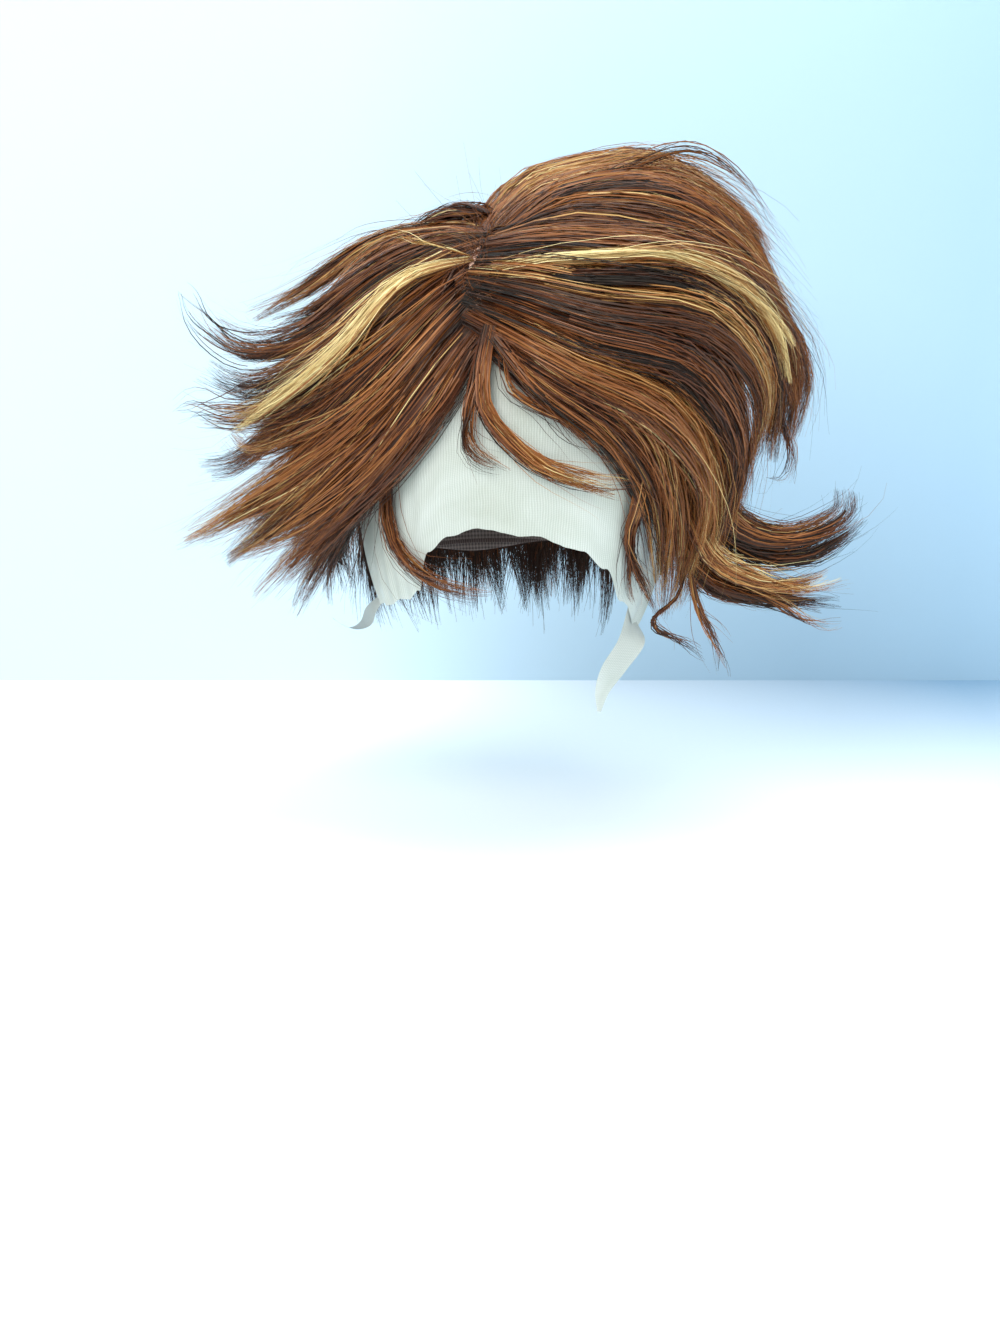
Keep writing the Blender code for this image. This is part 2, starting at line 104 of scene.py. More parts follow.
lights = [
    # name, place, aim, size, watts, colour
    ("keyLight", (-1.10, -1.30, 1.25), (0, 0, 0.02), 1.3, 34, (1.0, 0.985, 0.96)),
    ("topLight", (0.25, -0.25, 1.60), (0, 0, 0), 1.1, 16, (0.97, 0.99, 1.0)),
    ("fillLight", (1.40, -0.90, 0.55), (0, 0, 0), 1.4, 12, (0.90, 0.97, 1.0)),
    ("backLight", (0.30, 1.50, 1.20), (0, 0, 0.02), 1.2, 10, (0.95, 0.98, 1.0)),
]


def makeCamera():
    data = bpy.data.cameras.new("photoView")
    data.sensor_width = 36
    data.lens = 36 * camera["pixels"] / 1333
    made = bpy.data.objects.new("photoView", data)
    x, y = inPlan(camera["across"] * mm, layout["eyeDistance"])
    made.location = (x, y, layout["eyeHeight"])
    made.rotation_euler = (math.radians(90 - camera["tilt"]), 0, layout["turn"])
    bpy.context.scene.collection.objects.link(made)
    bpy.context.scene.camera = made


def makeLights():
    for name, spot, aim, size, watts, colour in lights:
        data = bpy.data.lights.new(name, "AREA")
        data.shape = "DISK"
        data.size = size
        data.energy = watts
        data.color = colour
        made = bpy.data.objects.new(name, data)
        made.location = spot
        made.rotation_euler = (Vector(aim) - Vector(spot)).to_track_quat("-Z", "Y").to_euler()
        bpy.context.scene.collection.objects.link(made)
    world = bpy.data.worlds.new("paleRoom")
    world.use_nodes = True
    backdrop = world.node_tree.nodes["Background"]
    backdrop.inputs["Color"].default_value = (0.80, 0.91, 0.97, 1)
    backdrop.inputs["Strength"].default_value = 0.85
    bpy.context.scene.world = world
    bpy.context.scene.view_settings.view_transform = "Standard"


# Shader maths
class Wire:
    # A node's output that Python's operators work on
    def __init__(self, socket):
        self.socket = socket
        self.tree = socket.id_data

    def maths(self, operation, first, second=0.0):
        return addNode(self.tree, "ShaderNodeMath", {"operation": operation}, {0: first, 1: second})

    def __add__(self, other):
        return self.maths("ADD", self, other)

    __radd__ = __add__

    def __mul__(self, other):
        return self.maths("MULTIPLY", self, other)

    __rmul__ = __mul__

    def __sub__(self, other):
        return self.maths("SUBTRACT", self, other)

    def __rsub__(self, other):
        return self.maths("SUBTRACT", other, self)

    def sine(self):
        return self.maths("SINE", self)

    def clipped(self):
        return addNode(self.tree, "ShaderNodeClamp", {}, {"Value": self})


def addNode(tree, kind, settings, sockets, out=0):
    made = tree.nodes.new(kind)
    for key, value in settings.items():
        if key == "stops":
            ramp = made.color_ramp
            while len(ramp.elements) < len(value):
                ramp.elements.new(0.5)
            for element, (position, colour) in zip(ramp.elements, value):
                element.position = position
                element.color = (*colour, 1)
        else:
            setattr(made, key, value)
    for key, value in sockets.items():
        if isinstance(value, Wire):
            tree.links.new(value.socket, made.inputs[key])
        else:
            made.inputs[key].default_value = value
    return Wire(made.outputs[out])


def mixColours(tree, factor, first, second, blend="MIX"):
    pick = {"data_type": "RGBA", "blend_type": blend, "clamp_factor": True}
    ends = [(*c, 1) if isinstance(c, tuple) else c for c in (first, second)]
    return addNode(tree, "ShaderNodeMix", pick, {0: factor, 6: ends[0], 7: ends[1]}, 2)


def splitWire(tree, vector):
    first = addNode(tree, "ShaderNodeSeparateXYZ", {}, {0: vector})
    return [Wire(socket) for socket in first.socket.node.outputs]


def joinWire(tree, x, y, z=0.0):
    return addNode(tree, "ShaderNodeCombineXYZ", {}, {0: x, 1: y, 2: z})


def noiseWire(tree, vector, scale, detail=2.0):
    return addNode(tree, "ShaderNodeTexNoise", {}, {"Vector": vector, "Scale": scale, "Detail": detail})


def newMaterial(name, roughness):
    made = bpy.data.materials.new(name)
    made.use_nodes = True
    shader = made.node_tree.nodes["Principled BSDF"]
    shader.inputs["Roughness"].default_value = roughness
    return made, made.node_tree, shader


def feed(tree, shader, name, wire):
    tree.links.new(wire.socket, shader.inputs[name])


def fromScreen(red, green, blue):  # colour as picked on a screen, to light
    shares = [value / 255 for value in (red, green, blue)]
    return tuple(((c + 0.055) / 1.055) ** 2.4 if c > 0.04045 else c / 12.92 for c in shares)


# Hair finish, read along each strand: the map's first value is the tone, the second the way to the tip
hairFinish = {
    "tones": [
        (0.00, fromScreen(14, 7, 7)),
        (0.18, fromScreen(38, 17, 13)),
        (0.35, fromScreen(84, 43, 24)),
        (0.52, fromScreen(130, 74, 36)),
        (0.68, fromScreen(158, 99, 50)),
        (0.82, fromScreen(190, 152, 92)),
        (1.00, fromScreen(240, 220, 158)),
    ],
    "roughness": 0.36,
    "roughStreak": 0.25,
    "roughDark": 0.3,  # dark hair is duller
    "streak": 0.55,  # light and dark along a strand
    "streaksAcross": 160,
    "streaksAlong": 5,
    "rootShade": 0.25,
    "rootEnd": 9,  # the root's shade fades over one part in this many
    "brightness": 0.95,
    "specular": 0.35,
    "specularTint": (1.0, 0.86, 0.70, 1),
}


def hairMaterial(name):
    made, tree, shader = newMaterial(name, hairFinish["roughness"])
    tone, along, _ = splitWire(tree, addNode(tree, "ShaderNodeUVMap", {"uv_map": "OFBake"}, {}))
    colour = addNode(tree, "ShaderNodeValToRGB", {"stops": hairFinish["tones"]}, {0: tone})
    streaks = joinWire(tree, tone * hairFinish["streaksAcross"], along * hairFinish["streaksAlong"])
    streak = noiseWire(tree, streaks, 1.0, 3.0)
    shade = 1 + (streak - 0.5) * (2 * hairFinish["streak"])
    rooted = 1 - hairFinish["rootShade"] * (1 - (along * hairFinish["rootEnd"]).clipped())
    level = (shade * rooted).clipped() * hairFinish["brightness"]
    colour = mixColours(tree, 1.0, colour, joinWire(tree, level, level, level), "MULTIPLY")
    feed(tree, shader, "Base Color", colour)
    rough = hairFinish["roughness"] + (streak - 0.5) * hairFinish["roughStreak"]
    feed(tree, shader, "Roughness", rough + (1 - tone * 3).clipped() * hairFinish["roughDark"])
    shader.inputs["Specular IOR Level"].default_value = hairFinish["specular"]
    shader.inputs["Specular Tint"].default_value = hairFinish["specularTint"]
    return made


# Mesh making
class Bundle:
    # Gathers grids and strands into one mesh with a map
    def __init__(self):
        self.points = []
        self.quads = []
        self.quadMaps = []
        self.count = 0

    def addGrid(self, grid, mapU, mapV):
        rows, columns = grid.shape[:2]
        index = np.arange(rows * columns).reshape(rows, columns)
        corners = [index[:-1, :-1], index[:-1, 1:], index[1:, 1:], index[1:, :-1]]
        quad = np.stack(corners, axis=-1).reshape(-1, 4)
        flat = np.stack([mapU.ravel(), mapV.ravel()], axis=-1)
        self.points.append(grid.reshape(-1, 3))
        self.quads.append(quad + self.count)
        self.quadMaps.append(flat[quad])
        self.count += rows * columns

    def addStrands(self, strands):
        # Flat tapering strands that face away from the middle of their lock
        points, radius, tone = strands["points"], strands["radius"], strands["tone"]
        count, stations = points.shape[:2]
        tangent = unit(np.gradient(points, axis=1))
        facing = strands["facing"]
        rows = np.empty((count, stations, 2, 3))
        for k in range(stations):
            facing = unit(facing - tangent[:, k] * (facing * tangent[:, k]).sum(axis=1, keepdims=True))
            side = np.cross(tangent[:, k], facing) * radius[:, k, None]
            rows[:, k, 0] = points[:, k] - side
            rows[:, k, 1] = points[:, k] + side
        first = self.count + np.arange(count)[:, None] * stations * 2 + np.arange(stations - 1)[None, :] * 2
        self.quads.append(np.stack([first, first + 1, first + 3, first + 2], axis=-1).reshape(-1, 4))
        spots = np.empty((count, stations, 2, 2))
        spots[:, :, 0, 0] = tone
        spots[:, :, 1, 0] = tone + 0.004
        spots[:, :, :, 1] = np.broadcast_to(strands["along"], (count, stations))[:, :, None]
        corners = [spots[:, :-1, 0], spots[:, :-1, 1], spots[:, 1:, 1], spots[:, 1:, 0]]
        self.quadMaps.append(np.stack(corners, axis=2).reshape(-1, 4, 2))
        self.points.append(rows.reshape(-1, 3))
        self.count += count * stations * 2

    def build(self, name, material, mapName):
        mesh = bpy.data.meshes.new(name)
        points = np.concatenate(self.points)
        quads = np.concatenate(self.quads)
        mesh.vertices.add(len(points))
        mesh.vertices.foreach_set("co", points.ravel())
        mesh.loops.add(quads.size)
        mesh.loops.foreach_set("vertex_index", quads.ravel().astype(np.int32))
        mesh.polygons.add(len(quads))
        mesh.polygons.foreach_set("loop_start", np.arange(len(quads), dtype=np.int32) * 4)
        mesh.update(calc_edges=True)
        spots = [m.reshape(-1, 2) for m in self.quadMaps]
        layer = mesh.uv_layers.new(name=mapName)
        layer.data.foreach_set("uv", np.clip(np.concatenate(spots), 0.002, 0.998).ravel())
        mesh.materials.append(material)
        mesh.shade_smooth()
        made = bpy.data.objects.new(name, mesh)
        bpy.context.scene.collection.objects.link(made)
        print(f"{name}: {len(quads) * 2} triangles")
        return made


def unit(vectors):
    return vectors / np.maximum(np.linalg.norm(vectors, axis=-1, keepdims=True), 1e-9)


def eased(low, high, values):
    t = np.clip((values - low) / (high - low), 0, 1)
    return t * t * (3 - 2 * t)


def curveBetween(a, b, c, d, t):  # from b to c, smooth past both of them
    return 0.5 * (2 * b + (c - a) * t + (2 * a - 5 * b + 4 * c - d) * t**2 + (3 * b - a - 3 * c + d) * t**3)


def evenMap(grid, across=(0, 1), down=(0, 1)):
    rows, columns = grid.shape[:2]
    mapU = np.broadcast_to(np.linspace(*across, columns), (rows, columns))
    mapV = np.broadcast_to(np.linspace(*down, rows)[:, None], (rows, columns))
    return mapU, mapV


# Dome that the cap lies on
def onDome(azimuth, slope, offset):
    turn = np.radians(azimuth)
    rise = np.radians(slope)
    reach = np.where(rise >= 0, np.cos(rise), 1 - domeForm["neckTaper"] * (1 - np.cos(rise)))
    x = (domeForm["halfWidth"] + offset) * reach * np.sin(turn)
    y = -(domeForm["halfDepth"] + offset) * reach * np.cos(turn)
    z = (domeForm["crownHeight"] + offset) * np.sin(rise) * np.ones_like(turn)
    return np.stack(np.broadcast_arrays(x, y, z), axis=-1)


def heightOver(x, y, offset):
    flat = (x / (domeForm["halfWidth"] + offset)) ** 2 + (y / (domeForm["halfDepth"] + offset)) ** 2
    return (domeForm["crownHeight"] + offset) * math.sqrt(1 - flat)


def slopeAt(height):
    return np.degrees(np.arcsin(np.clip(height / domeForm["crownHeight"], -0.99, 0.99)))


def edgeHeight(table, azimuth):
    azimuth = np.clip(azimuth, table[0].azimuth, table[-1].azimuth)
    height = np.full(np.shape(azimuth), float(table[-1].height))
    for low, high in reversed(list(zip(table, table[1:]))):
        t = eased(low.azimuth, high.azimuth, azimuth)
        height = np.where(azimuth <= high.azimuth, low.height + (high.height - low.height) * t, height)
    return height * mm


def clearOfDome(points, offset):
    # Moves points that are inside the dome out to its surface
    width = domeForm["halfWidth"] + offset
    depth = domeForm["halfDepth"] + offset
    height = domeForm["crownHeight"] + offset
    flat = np.hypot(points[..., 0] / width, points[..., 1] / depth)
    rise = np.clip(points[..., 2] / height, -1, 1)
    whole = np.hypot(flat, rise)
    reach = 1 - domeForm["neckTaper"] * (1 - np.sqrt(1 - rise**2))
    outUp = np.where((rise >= 0) & (whole < 1), 1 / np.maximum(whole, 0.3), 1)
    outDown = np.where((rise < 0) & (flat < reach), reach / np.maximum(flat, 0.3), 1)
    moved = points * outUp[..., None]
    moved[..., :2] *= outDown[..., None]
    return moved


capEdge = [
    Edge(0, 54), Edge(36, 52), Edge(60, 34), Edge(76, -6), Edge(86, 5),
    Edge(98, 10), Edge(110, -4), Edge(124, -36), Edge(142, -56), Edge(180, -62),
]
laceEdge = [
    Edge(-90, -68), Edge(-76, -66), Edge(-60, -60), Edge(-52, -53), Edge(-46, -34), Edge(-38, -26),
    Edge(-27, -21), Edge(-10, -24), Edge(8, -31), Edge(18, -41), Edge(30, -59), Edge(45, -73),
    Edge(62, -80), Edge(81, -82),
]


# Knotted strip that shows along the part
partStrip = {
    "line": [(-14, 70), (-18, 52), (-17, 36), (-12, 20), (-8, 6)],  # mm across and toward
    "halfWidth": 2.1,
    "rows": 41,
    "columns": 7,
    "offset": 2.4 * mm,  # over the dome
    "baseTone": fromScreen(176, 132, 112),
    "paleTone": fromScreen(226, 184, 160),
    "knotTone": fromScreen(92, 50, 36),
    "knots": 1100,
}


# Strands
lockForm = {
    "rootShare": 0.72,
    "bellyAt": 0.35,
    "tipShare": 0.26,
    "tipCurve": 1.5,
    "rootNear": 24 * mm,
    "samples": 33,
    "facesFrom": (0, 0, 20 * mm),  # locks turn their flat side away from here
}

strandForm = {
    "stations": 12,
    "radius": 0.25 * mm,
    "tipRadius": 0.05 * mm,
    "radiusRange": (0.7, 1.2),
    "twist": 0.55,
    "domeGap": 2.3 * mm,  # over the dome, past the cap
    "fromRoot": 0.55,  # share of strands that start at the lock's root
    "deepRoots": 0.30,  # how far along the lock the others start
    "shortest": 0.30,  # how much of the lock a short strand lacks at its tip
    "crossing": 0.30,  # share of strands that cross their lock
    "crossReach": 1.1,
    "wave": 1.9 * mm,
    "strandWave": 0.75 * mm,
    "strandWaveRate": (8, 20),
    "flyaways": 0.12,
    "flyReach": 22 * mm,
    "flyRise": 0.35,
    "flyCurl": 0.4,
    "flyRadius": 0.62,  # of a common strand's
    "rootTone": 0.13,  # darker at the roots
    "strandTone": 0.115,
    "paintedDepthShade": 0.10,  # painted shade: darker deep in a lock, lighter towards its outer face
    "paintedTopLight": 0.13,  # painted light and shade: lighter on its upper side, darker under it
    "paintedEdgeShade": 0.12,  # painted shade: darker at its sides, between locks
    "strayTone": 0.17,
    "lightStrays": 0.06,
    "darkStrays": 0.09,
}

clumpForm = {
    "every": 1.9,  # mm of lock width for each clump
    "fewest": 5,
    "reach": 0.85,  # from the lock's middle, as a share of its size
    "between": 0.48,  # share of clumps that lie between two locks
    "lean": (0.2, 0.5),  # how far those lean to the next lock
    "looseRoot": 0.42,  # spread in a clump, as a share of the lock
    "looseTip": 0.20,
    "spread": (0.7, 1.3),
    "frayed": 0.15,  # share of clumps that spread more
    "frayedSpread": 2.0,
    "narrowing": 0.15,
    "shortEnds": 0.16,
    "split": 3.2 * mm,  # how far clumps part at their tips
    "waveRate": (0.7, 1.7),  # turns along a lock
    "tone": 0.085,
    "dark": 0.17,  # share of darker clumps
    "darkTone": 0.24,
}

coreForm = {
    "share": 0.58,  # of the lock's width
    "sides": 14,
    "rows": 22,
    "from": 0.07,  # along the lock
    "to": 0.86,
    "fullFrom": 0.24,
    "thinFrom": 0.5,
    "ribs": 0.10,
    # painted shade: a dark hair tone for the shaded inside of a lock
    "tone": 0.16,
    "toneSpread": 0.05,
    "sunk": 0.6 * mm,
}

flowForm = {
    "sway": 3,  # degrees
    "swayRate": (2, 5),
    "sunk": 0.8 * mm,
    "radiusRange": (0.8, 1.25),
    "toneSpread": 0.10,
    "twist": 0.04,
    "layerColumns": 1.5,  # for each degree
    "layerRows": 26,
    "layerTop": 89,
    "layerPast": 1 * mm,
    "layerOffset": 2.0 * mm,
    "layerRibs": 0.35 * mm,
    # painted shade: a dark hair tone for the layer under the strands
    "paintedLayerShade": 0.16,
    "layerToneSpread": 0.07,
}

modelRoom = {
    "share": 0.03,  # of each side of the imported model
    "margin": 8 * mm,
}


def partRoot(toward, aside):
    # Where hair leaves the part, aside of its line by some mm
    line = np.array(partStrip["line"][::-1], float)
    toward = np.clip(toward, line[0, 1], line[-1, 1])
    across = np.interp(toward, line[:, 1], line[:, 0]) + aside
    x, y = inPlan(across * mm, toward * mm)
    return np.array((x, y, heightOver(x, y, strandForm["domeGap"])))


def smoothPath(places, count, root):
    points = [place(*p) for p in places]
    if root is not None:  # a first place close to the root gives way to it
        near = np.linalg.norm(points[0] - root) < lockForm["rootNear"]
        points = [root] + points[int(near):]
    points = [2 * points[0] - points[1]] + points + [2 * points[-1] - points[-2]]
    fine = []
    for corners in zip(points, points[1:], points[2:], points[3:]):
        fine += [curveBetween(*corners, t) for t in np.linspace(0, 1, 12, endpoint=False)]
    fine = np.array(fine + [points[-2]])
    along = np.concatenate([[0], np.cumsum(np.linalg.norm(np.diff(fine, axis=0), axis=1))])
    wanted = np.linspace(0, along[-1], count)
    return np.stack([np.interp(wanted, along, fine[:, k]) for k in range(3)], axis=-1), along[-1]


def shapeLock(lock, aside):
    count = lockForm["samples"]
    root = partRoot(lock.path[0][2], aside) if aside else None
    centre, length = smoothPath(lock.path, count, root)
    tangent = unit(np.gradient(centre, axis=0))
    outwards = centre[0] - lockForm["facesFrom"]
    frames = []
    for along in tangent:
        outwards = unit(outwards - along * outwards.dot(along))
        frames.append((np.cross(along, outwards), outwards))
    t = np.linspace(0, 1, count)
    swell = lockForm["rootShare"] + (1 - lockForm["rootShare"]) * np.sin(
        0.5 * math.pi * np.minimum(t / lockForm["bellyAt"], 1))
    fall = np.clip((t - lockForm["bellyAt"]) / (1 - lockForm["bellyAt"]), 0, 1)
    taper = 1 - (1 - lockForm["tipShare"]) * fall**lockForm["tipCurve"]
    share = np.where(t < lockForm["bellyAt"], swell, taper)
    return {
        "centre": centre,
        "across": np.array([f[0] for f in frames]),
        "out": np.array([f[1] for f in frames]),
        "wide": lock.wide * mm / 2 * share,
        "thick": lock.thick * mm / 2 * share,
        "length": length,
    }


def sampled(values, t):
    # Reads evenly spaced values at places from 0 to 1
    spot = np.clip(t, 0, 1) * (len(values) - 1)
    low = np.minimum(spot.astype(int), len(values) - 2)
    rest = spot - low
    if values.ndim == 2:
        rest = rest[..., None]
    return values[low] * (1 - rest) + values[low + 1] * rest


def strandCount(count):
    return count


def makeClumps(index, locks, joined, rng):
    # Place, lean, length, looseness and tone of each clump of strands in a lock
    form = clumpForm
    count = max(form["fewest"], int(locks[index].wide / form["every"]))
    radius = np.sqrt(rng.random(count)) * form["reach"]
    turn = rng.random(count) * fullTurn
    beside = index + rng.choice([-1, 1], count)
    real = [0 <= n < len(locks) and (min(n, index) in joined) for n in beside]
    leaning = (rng.random(count) < form["between"]) & real
    lean = np.where(leaning, rng.uniform(*form["lean"], count), 0)
    tone = rng.normal(0, form["tone"], count) - form["darkTone"] * (rng.random(count) < form["dark"])
    end = rng.random(count) ** 1.5 * form["shortEnds"]
    loose = rng.uniform(*form["spread"], count)
    loose = loose + form["frayedSpread"] * (rng.random(count) < form["frayed"])
    return {
        "count": count,
        "a": radius * np.cos(turn),
        "b": radius * np.sin(turn),
        "beside": np.where(real, beside, index),
        "lean": lean,
        "tone": tone,
        "end": end,
        "loose": loose,
        "waveStart": rng.random((count, 2)) * fullTurn,
        "waveRate": rng.uniform(*form["waveRate"], (count, 2)) * fullTurn,
    }


def leanShapes(index, shapes, clumps, own, t):
    # The lock's shape at each station, drawn to the next lock where a clump lies between two
    mine = shapes[index]
    blended = {key: sampled(mine[key], t) for key in ("centre", "across", "out", "wide", "thick")}
    weight = clumps["lean"][own][:, None] * (1 - 0.85 * eased(0.35, 0.95, t))
    for other in set(clumps["beside"].tolist()) - {index}:
        rows = clumps["beside"][own] == other
        for key, values in blended.items():
            w = weight[rows] if values.ndim == 2 else weight[rows][..., None]
            values[rows] = values[rows] * (1 - w) + sampled(shapes[other][key], t[rows]) * w
    return blended


def placeInLock(clumps, own, t, rng):
    # How far across and out of its lock each station lies, as shares of the lock's size
    form = clumpForm
    count = len(own)
    looseTip = form["looseTip"] * clumps["loose"][own][:, None]
    loose = form["looseRoot"] + (looseTip - form["looseRoot"]) * eased(0.1, 0.95, t)
    narrowed = 1 - form["narrowing"] * t
    a = clumps["a"][own][:, None] * narrowed + rng.normal(size=(count, 1)) * loose
    b = clumps["b"][own][:, None] * narrowed + rng.normal(size=(count, 1)) * loose
    crosses = rng.random((count, 1)) < strandForm["crossing"]
    crossing = crosses * rng.normal(0, strandForm["crossReach"], (count, 1))
    a = np.clip(a + crossing * (t - rng.random((count, 1))), -1.25, 1.25)
    b = np.clip(b, -1.1, 1.1) * eased(-0.05, 0.16, t)
    return a, b


def swayStrands(clumps, own, t, rng):
    # Waves of a clump, its parting at the tip and each strand's small waves, in metres
    count = len(own)
    start, rate = clumps["waveStart"][own], clumps["waveRate"][own]
    swing = strandForm["wave"] * eased(0.1, 1.0, t)
    sways = [np.sin(t * rate[:, k, None] + start[:, k, None]) * swing for k in (0, 1)]
    parting = rng.normal(0, clumpForm["split"], (clumps["count"], 2))[own]
    parting = parting * (0.4 + 0.6 * rng.random((count, 1)))
    small = strandForm["strandWave"] * eased(0.0, 0.8, t)
    for k, sway in enumerate(sways):
        sway += parting[:, k, None] * eased(0.5, 1.05, t)
        turns = t * rng.uniform(*strandForm["strandWaveRate"], (count, 1)) + rng.random((count, 1)) * 6.3
        sway += np.sin(turns) * small
    return sways


def driftAway(count, s, rng):
    # How far flyaways drift and curl from their lock
    reach = strandForm["flyReach"]
    rise = (0, 0, strandForm["flyRise"])
    drift = unit(rng.normal(size=(count, 3)) + rise) * (rng.random((count, 1)) * reach)
    curl = unit(rng.normal(size=(count, 3))) * reach * strandForm["flyCurl"]
    return drift[:, None] * (s**1.7)[None, :, None] + curl[:, None] * ((s**3 - s**2) * 3)[None, :, None]


def growLock(index, locks, shapes, count, rng, joined):
    form = strandForm
    lock = locks[index]
    clumps = makeClumps(index, locks, joined, rng)
    own = rng.integers(0, clumps["count"], count)
    s = 1 - (1 - np.linspace(0, 1, form["stations"])) ** 1.2
    begin = np.where(rng.random(count) < form["fromRoot"], 0.0, rng.random(count) * form["deepRoots"])
    end = 1 - clumps["end"][own] - form["shortest"] * rng.random(count) ** 2
    t = begin[:, None] + (end - begin)[:, None] * s
    shape = leanShapes(index, shapes, clumps, own, t)
    across = unit(shape["across"])
    out = unit(shape["out"])
    a, b = placeInLock(clumps, own, t, rng)
    swayA, swayB = swayStrands(clumps, own, t, rng)
    points = shape["centre"] + across * (a * shape["wide"] + swayA)[..., None]
    points = points + out * (b * shape["thick"] + swayB)[..., None]
    fly = rng.random(count) < form["flyaways"]
    points += np.where(fly[:, None, None], driftAway(count, s, rng), 0)

    thickness = form["radius"] + (form["tipRadius"] - form["radius"]) * eased(0.55, 1.0, s)[None, :]
    finer = np.where(fly, form["flyRadius"], 1)[:, None]
    thickness = thickness * (rng.uniform(*form["radiusRange"], (count, 1)) * finer)
    tone = lock.tone + (lock.tipTone - lock.tone) * eased(0.45, 1.0, t)
    tone = tone - form["rootTone"] * (1 - eased(0, 0.2, t))
    tone = tone + clumps["tone"][own][:, None] + rng.normal(0, form["strandTone"], (count, 1))
    # Painted shade inside a lock, under it and at its sides; painted light on its outer face and upper side
    tone = tone + form["paintedDepthShade"] * b
    tone = tone + form["paintedTopLight"] * across[..., 2] * a - form["paintedEdgeShade"] * eased(0.5, 1.1, np.abs(a))
    light = rng.random((count, 1)) < form["lightStrays"]
    dark = rng.random((count, 1)) < form["darkStrays"]
    tone = tone + form["strayTone"] * (light - 1.5 * dark)
    middle = form["stations"] // 2
    facing = across[:, middle] * a[:, middle, None] + out[:, middle] * (b[:, middle, None] + 0.5)
    facing = facing + rng.normal(0, form["twist"], (count, 3))
    return {"points": points, "radius": thickness, "tone": tone, "along": np.clip(t, 0, 1), "facing": facing}


def grow(bundle, locks, count, rng, joined=(), cores=True, fromPart=(), aside=0):
    # Strands over dark cores of painted shade for a table of locks. The rows in joined run on into the next
    # row, and those in fromPart leave the part, aside of its line by some mm.
    count = strandCount(count)
    shapes = [shapeLock(lock, aside if index in fromPart else 0) for index, lock in enumerate(locks)]
    loads = [shape["length"] * math.sqrt(lock.wide * lock.thick) for shape, lock in zip(shapes, locks)]
    for index, load in enumerate(loads):
        strands = growLock(index, locks, shapes, round(count * load / sum(loads)), rng, joined)
        strands["points"] = heldInside(clearOfDome(strands["points"], strandForm["domeGap"]))
        bundle.addStrands(strands)
        if cores:
            addCore(bundle, shapes[index], rng)


def addCore(bundle, shape, rng):
    # Dark inner body of a lock, so that no daylight shows through its strands; its dark tone is painted
    # shade of the hair inside
    form = coreForm
    around = form["sides"] + 1
    t = np.linspace(form["from"], form["to"], form["rows"])
    turn = np.linspace(0, fullTurn, around)
    shrink = form["share"] * (1 - 0.75 * eased(form["thinFrom"], form["to"], t))
    shrink = shrink * (0.1 + 0.9 * eased(form["from"], form["fullFrom"], t))
    ribs = 1 + form["ribs"] * rng.normal(size=form["sides"])
    ribs = np.append(ribs, ribs[0])
    wide = (sampled(shape["wide"], t) * shrink)[:, None] * np.cos(turn) * ribs
    thick = (sampled(shape["thick"], t) * shrink)[:, None] * np.sin(turn) * ribs
    centre, across, out = (sampled(shape[key], t)[:, None, :] for key in ("centre", "across", "out"))
    grid = centre + across * wide[..., None] + out * thick[..., None]
    tones = np.clip(form["tone"] + form["toneSpread"] * rng.normal(size=around), 0.02, 0.3)
    mapU = np.broadcast_to(tones, (len(t), around))
    mapV = np.broadcast_to(t[:, None], (len(t), around))
    bundle.addGrid(clearOfDome(grid, strandForm["domeGap"] - form["sunk"]), mapU, mapV)


def heldInside(points):
    # Holds loose ends inside the room that the model's box leaves
    low, high = np.array(cadLow), np.array(cadHigh)
    room = (high - low) * modelRoom["share"] + modelRoom["margin"]
    return np.clip(points, low - room, high + room)


def addFlow(bundle, settings, rng):
    # Strands that lie down the dome from the crown
    form = flowForm
    count = strandCount(settings["strands"])
    stations = strandForm["stations"]
    s = np.linspace(0, 1, stations)[None, :]
    around = rng.uniform(*settings["azimuths"], (count, 1))
    top = rng.uniform(*settings["from"], (count, 1))
    past = rng.uniform(*settings["past"], (count, 1)) * mm
    bottom = slopeAt(edgeHeight(capEdge, np.abs(wrapped(around))) - past)
    swing = rng.normal(0, form["sway"], (count, 1))
    sway = swing * np.sin(s * rng.uniform(*form["swayRate"], (count, 1)) + rng.random((count, 1)) * 6)
    lift = rng.uniform(*settings["lift"], (count, 1)) * mm * eased(0, 0.12, s)
    offset = strandForm["domeGap"] - form["sunk"] + lift
    points = onDome(around + sway * s, top + (bottom - top) * s, offset)
    radius = strandForm["radius"] * (1 - 0.7 * eased(0.6, 1, s))
    radius = radius * rng.uniform(*form["radiusRange"], (count, 1))
    tone = settings["tone"] + rng.normal(0, form["toneSpread"], (count, 1))
    tone = tone + (settings["tipTone"] - settings["tone"]) * s
    facing = points[:, stations // 2] + rng.normal(0, form["twist"], (count, 3))
    bundle.addStrands({"points": heldInside(points), "radius": radius, "tone": tone, "along": s,
                       "facing": facing})


def addLayer(bundle, span, rng):
    # Dark layer under the strands, painted shade of the hair beneath them
    form = flowForm
    rows = form["layerRows"]
    columns = int((span[1] - span[0]) * form["layerColumns"])
    azimuths = np.linspace(*span, columns)[None, :]
    down = np.linspace(0, 1, rows)[:, None]
    rim = slopeAt(edgeHeight(capEdge, np.abs(wrapped(azimuths))) - form["layerPast"])
    ribs = form["layerRibs"] * rng.random((1, columns))
    slopes = form["layerTop"] + (rim - form["layerTop"]) * down
    grid = onDome(azimuths, slopes, form["layerOffset"] + ribs)
    tones = np.clip(form["paintedLayerShade"] + form["layerToneSpread"] * rng.normal(size=(1, columns)), 0.03, 0.4)
    bundle.addGrid(grid, np.broadcast_to(tones, (rows, columns)), np.broadcast_to(down, (rows, columns)))


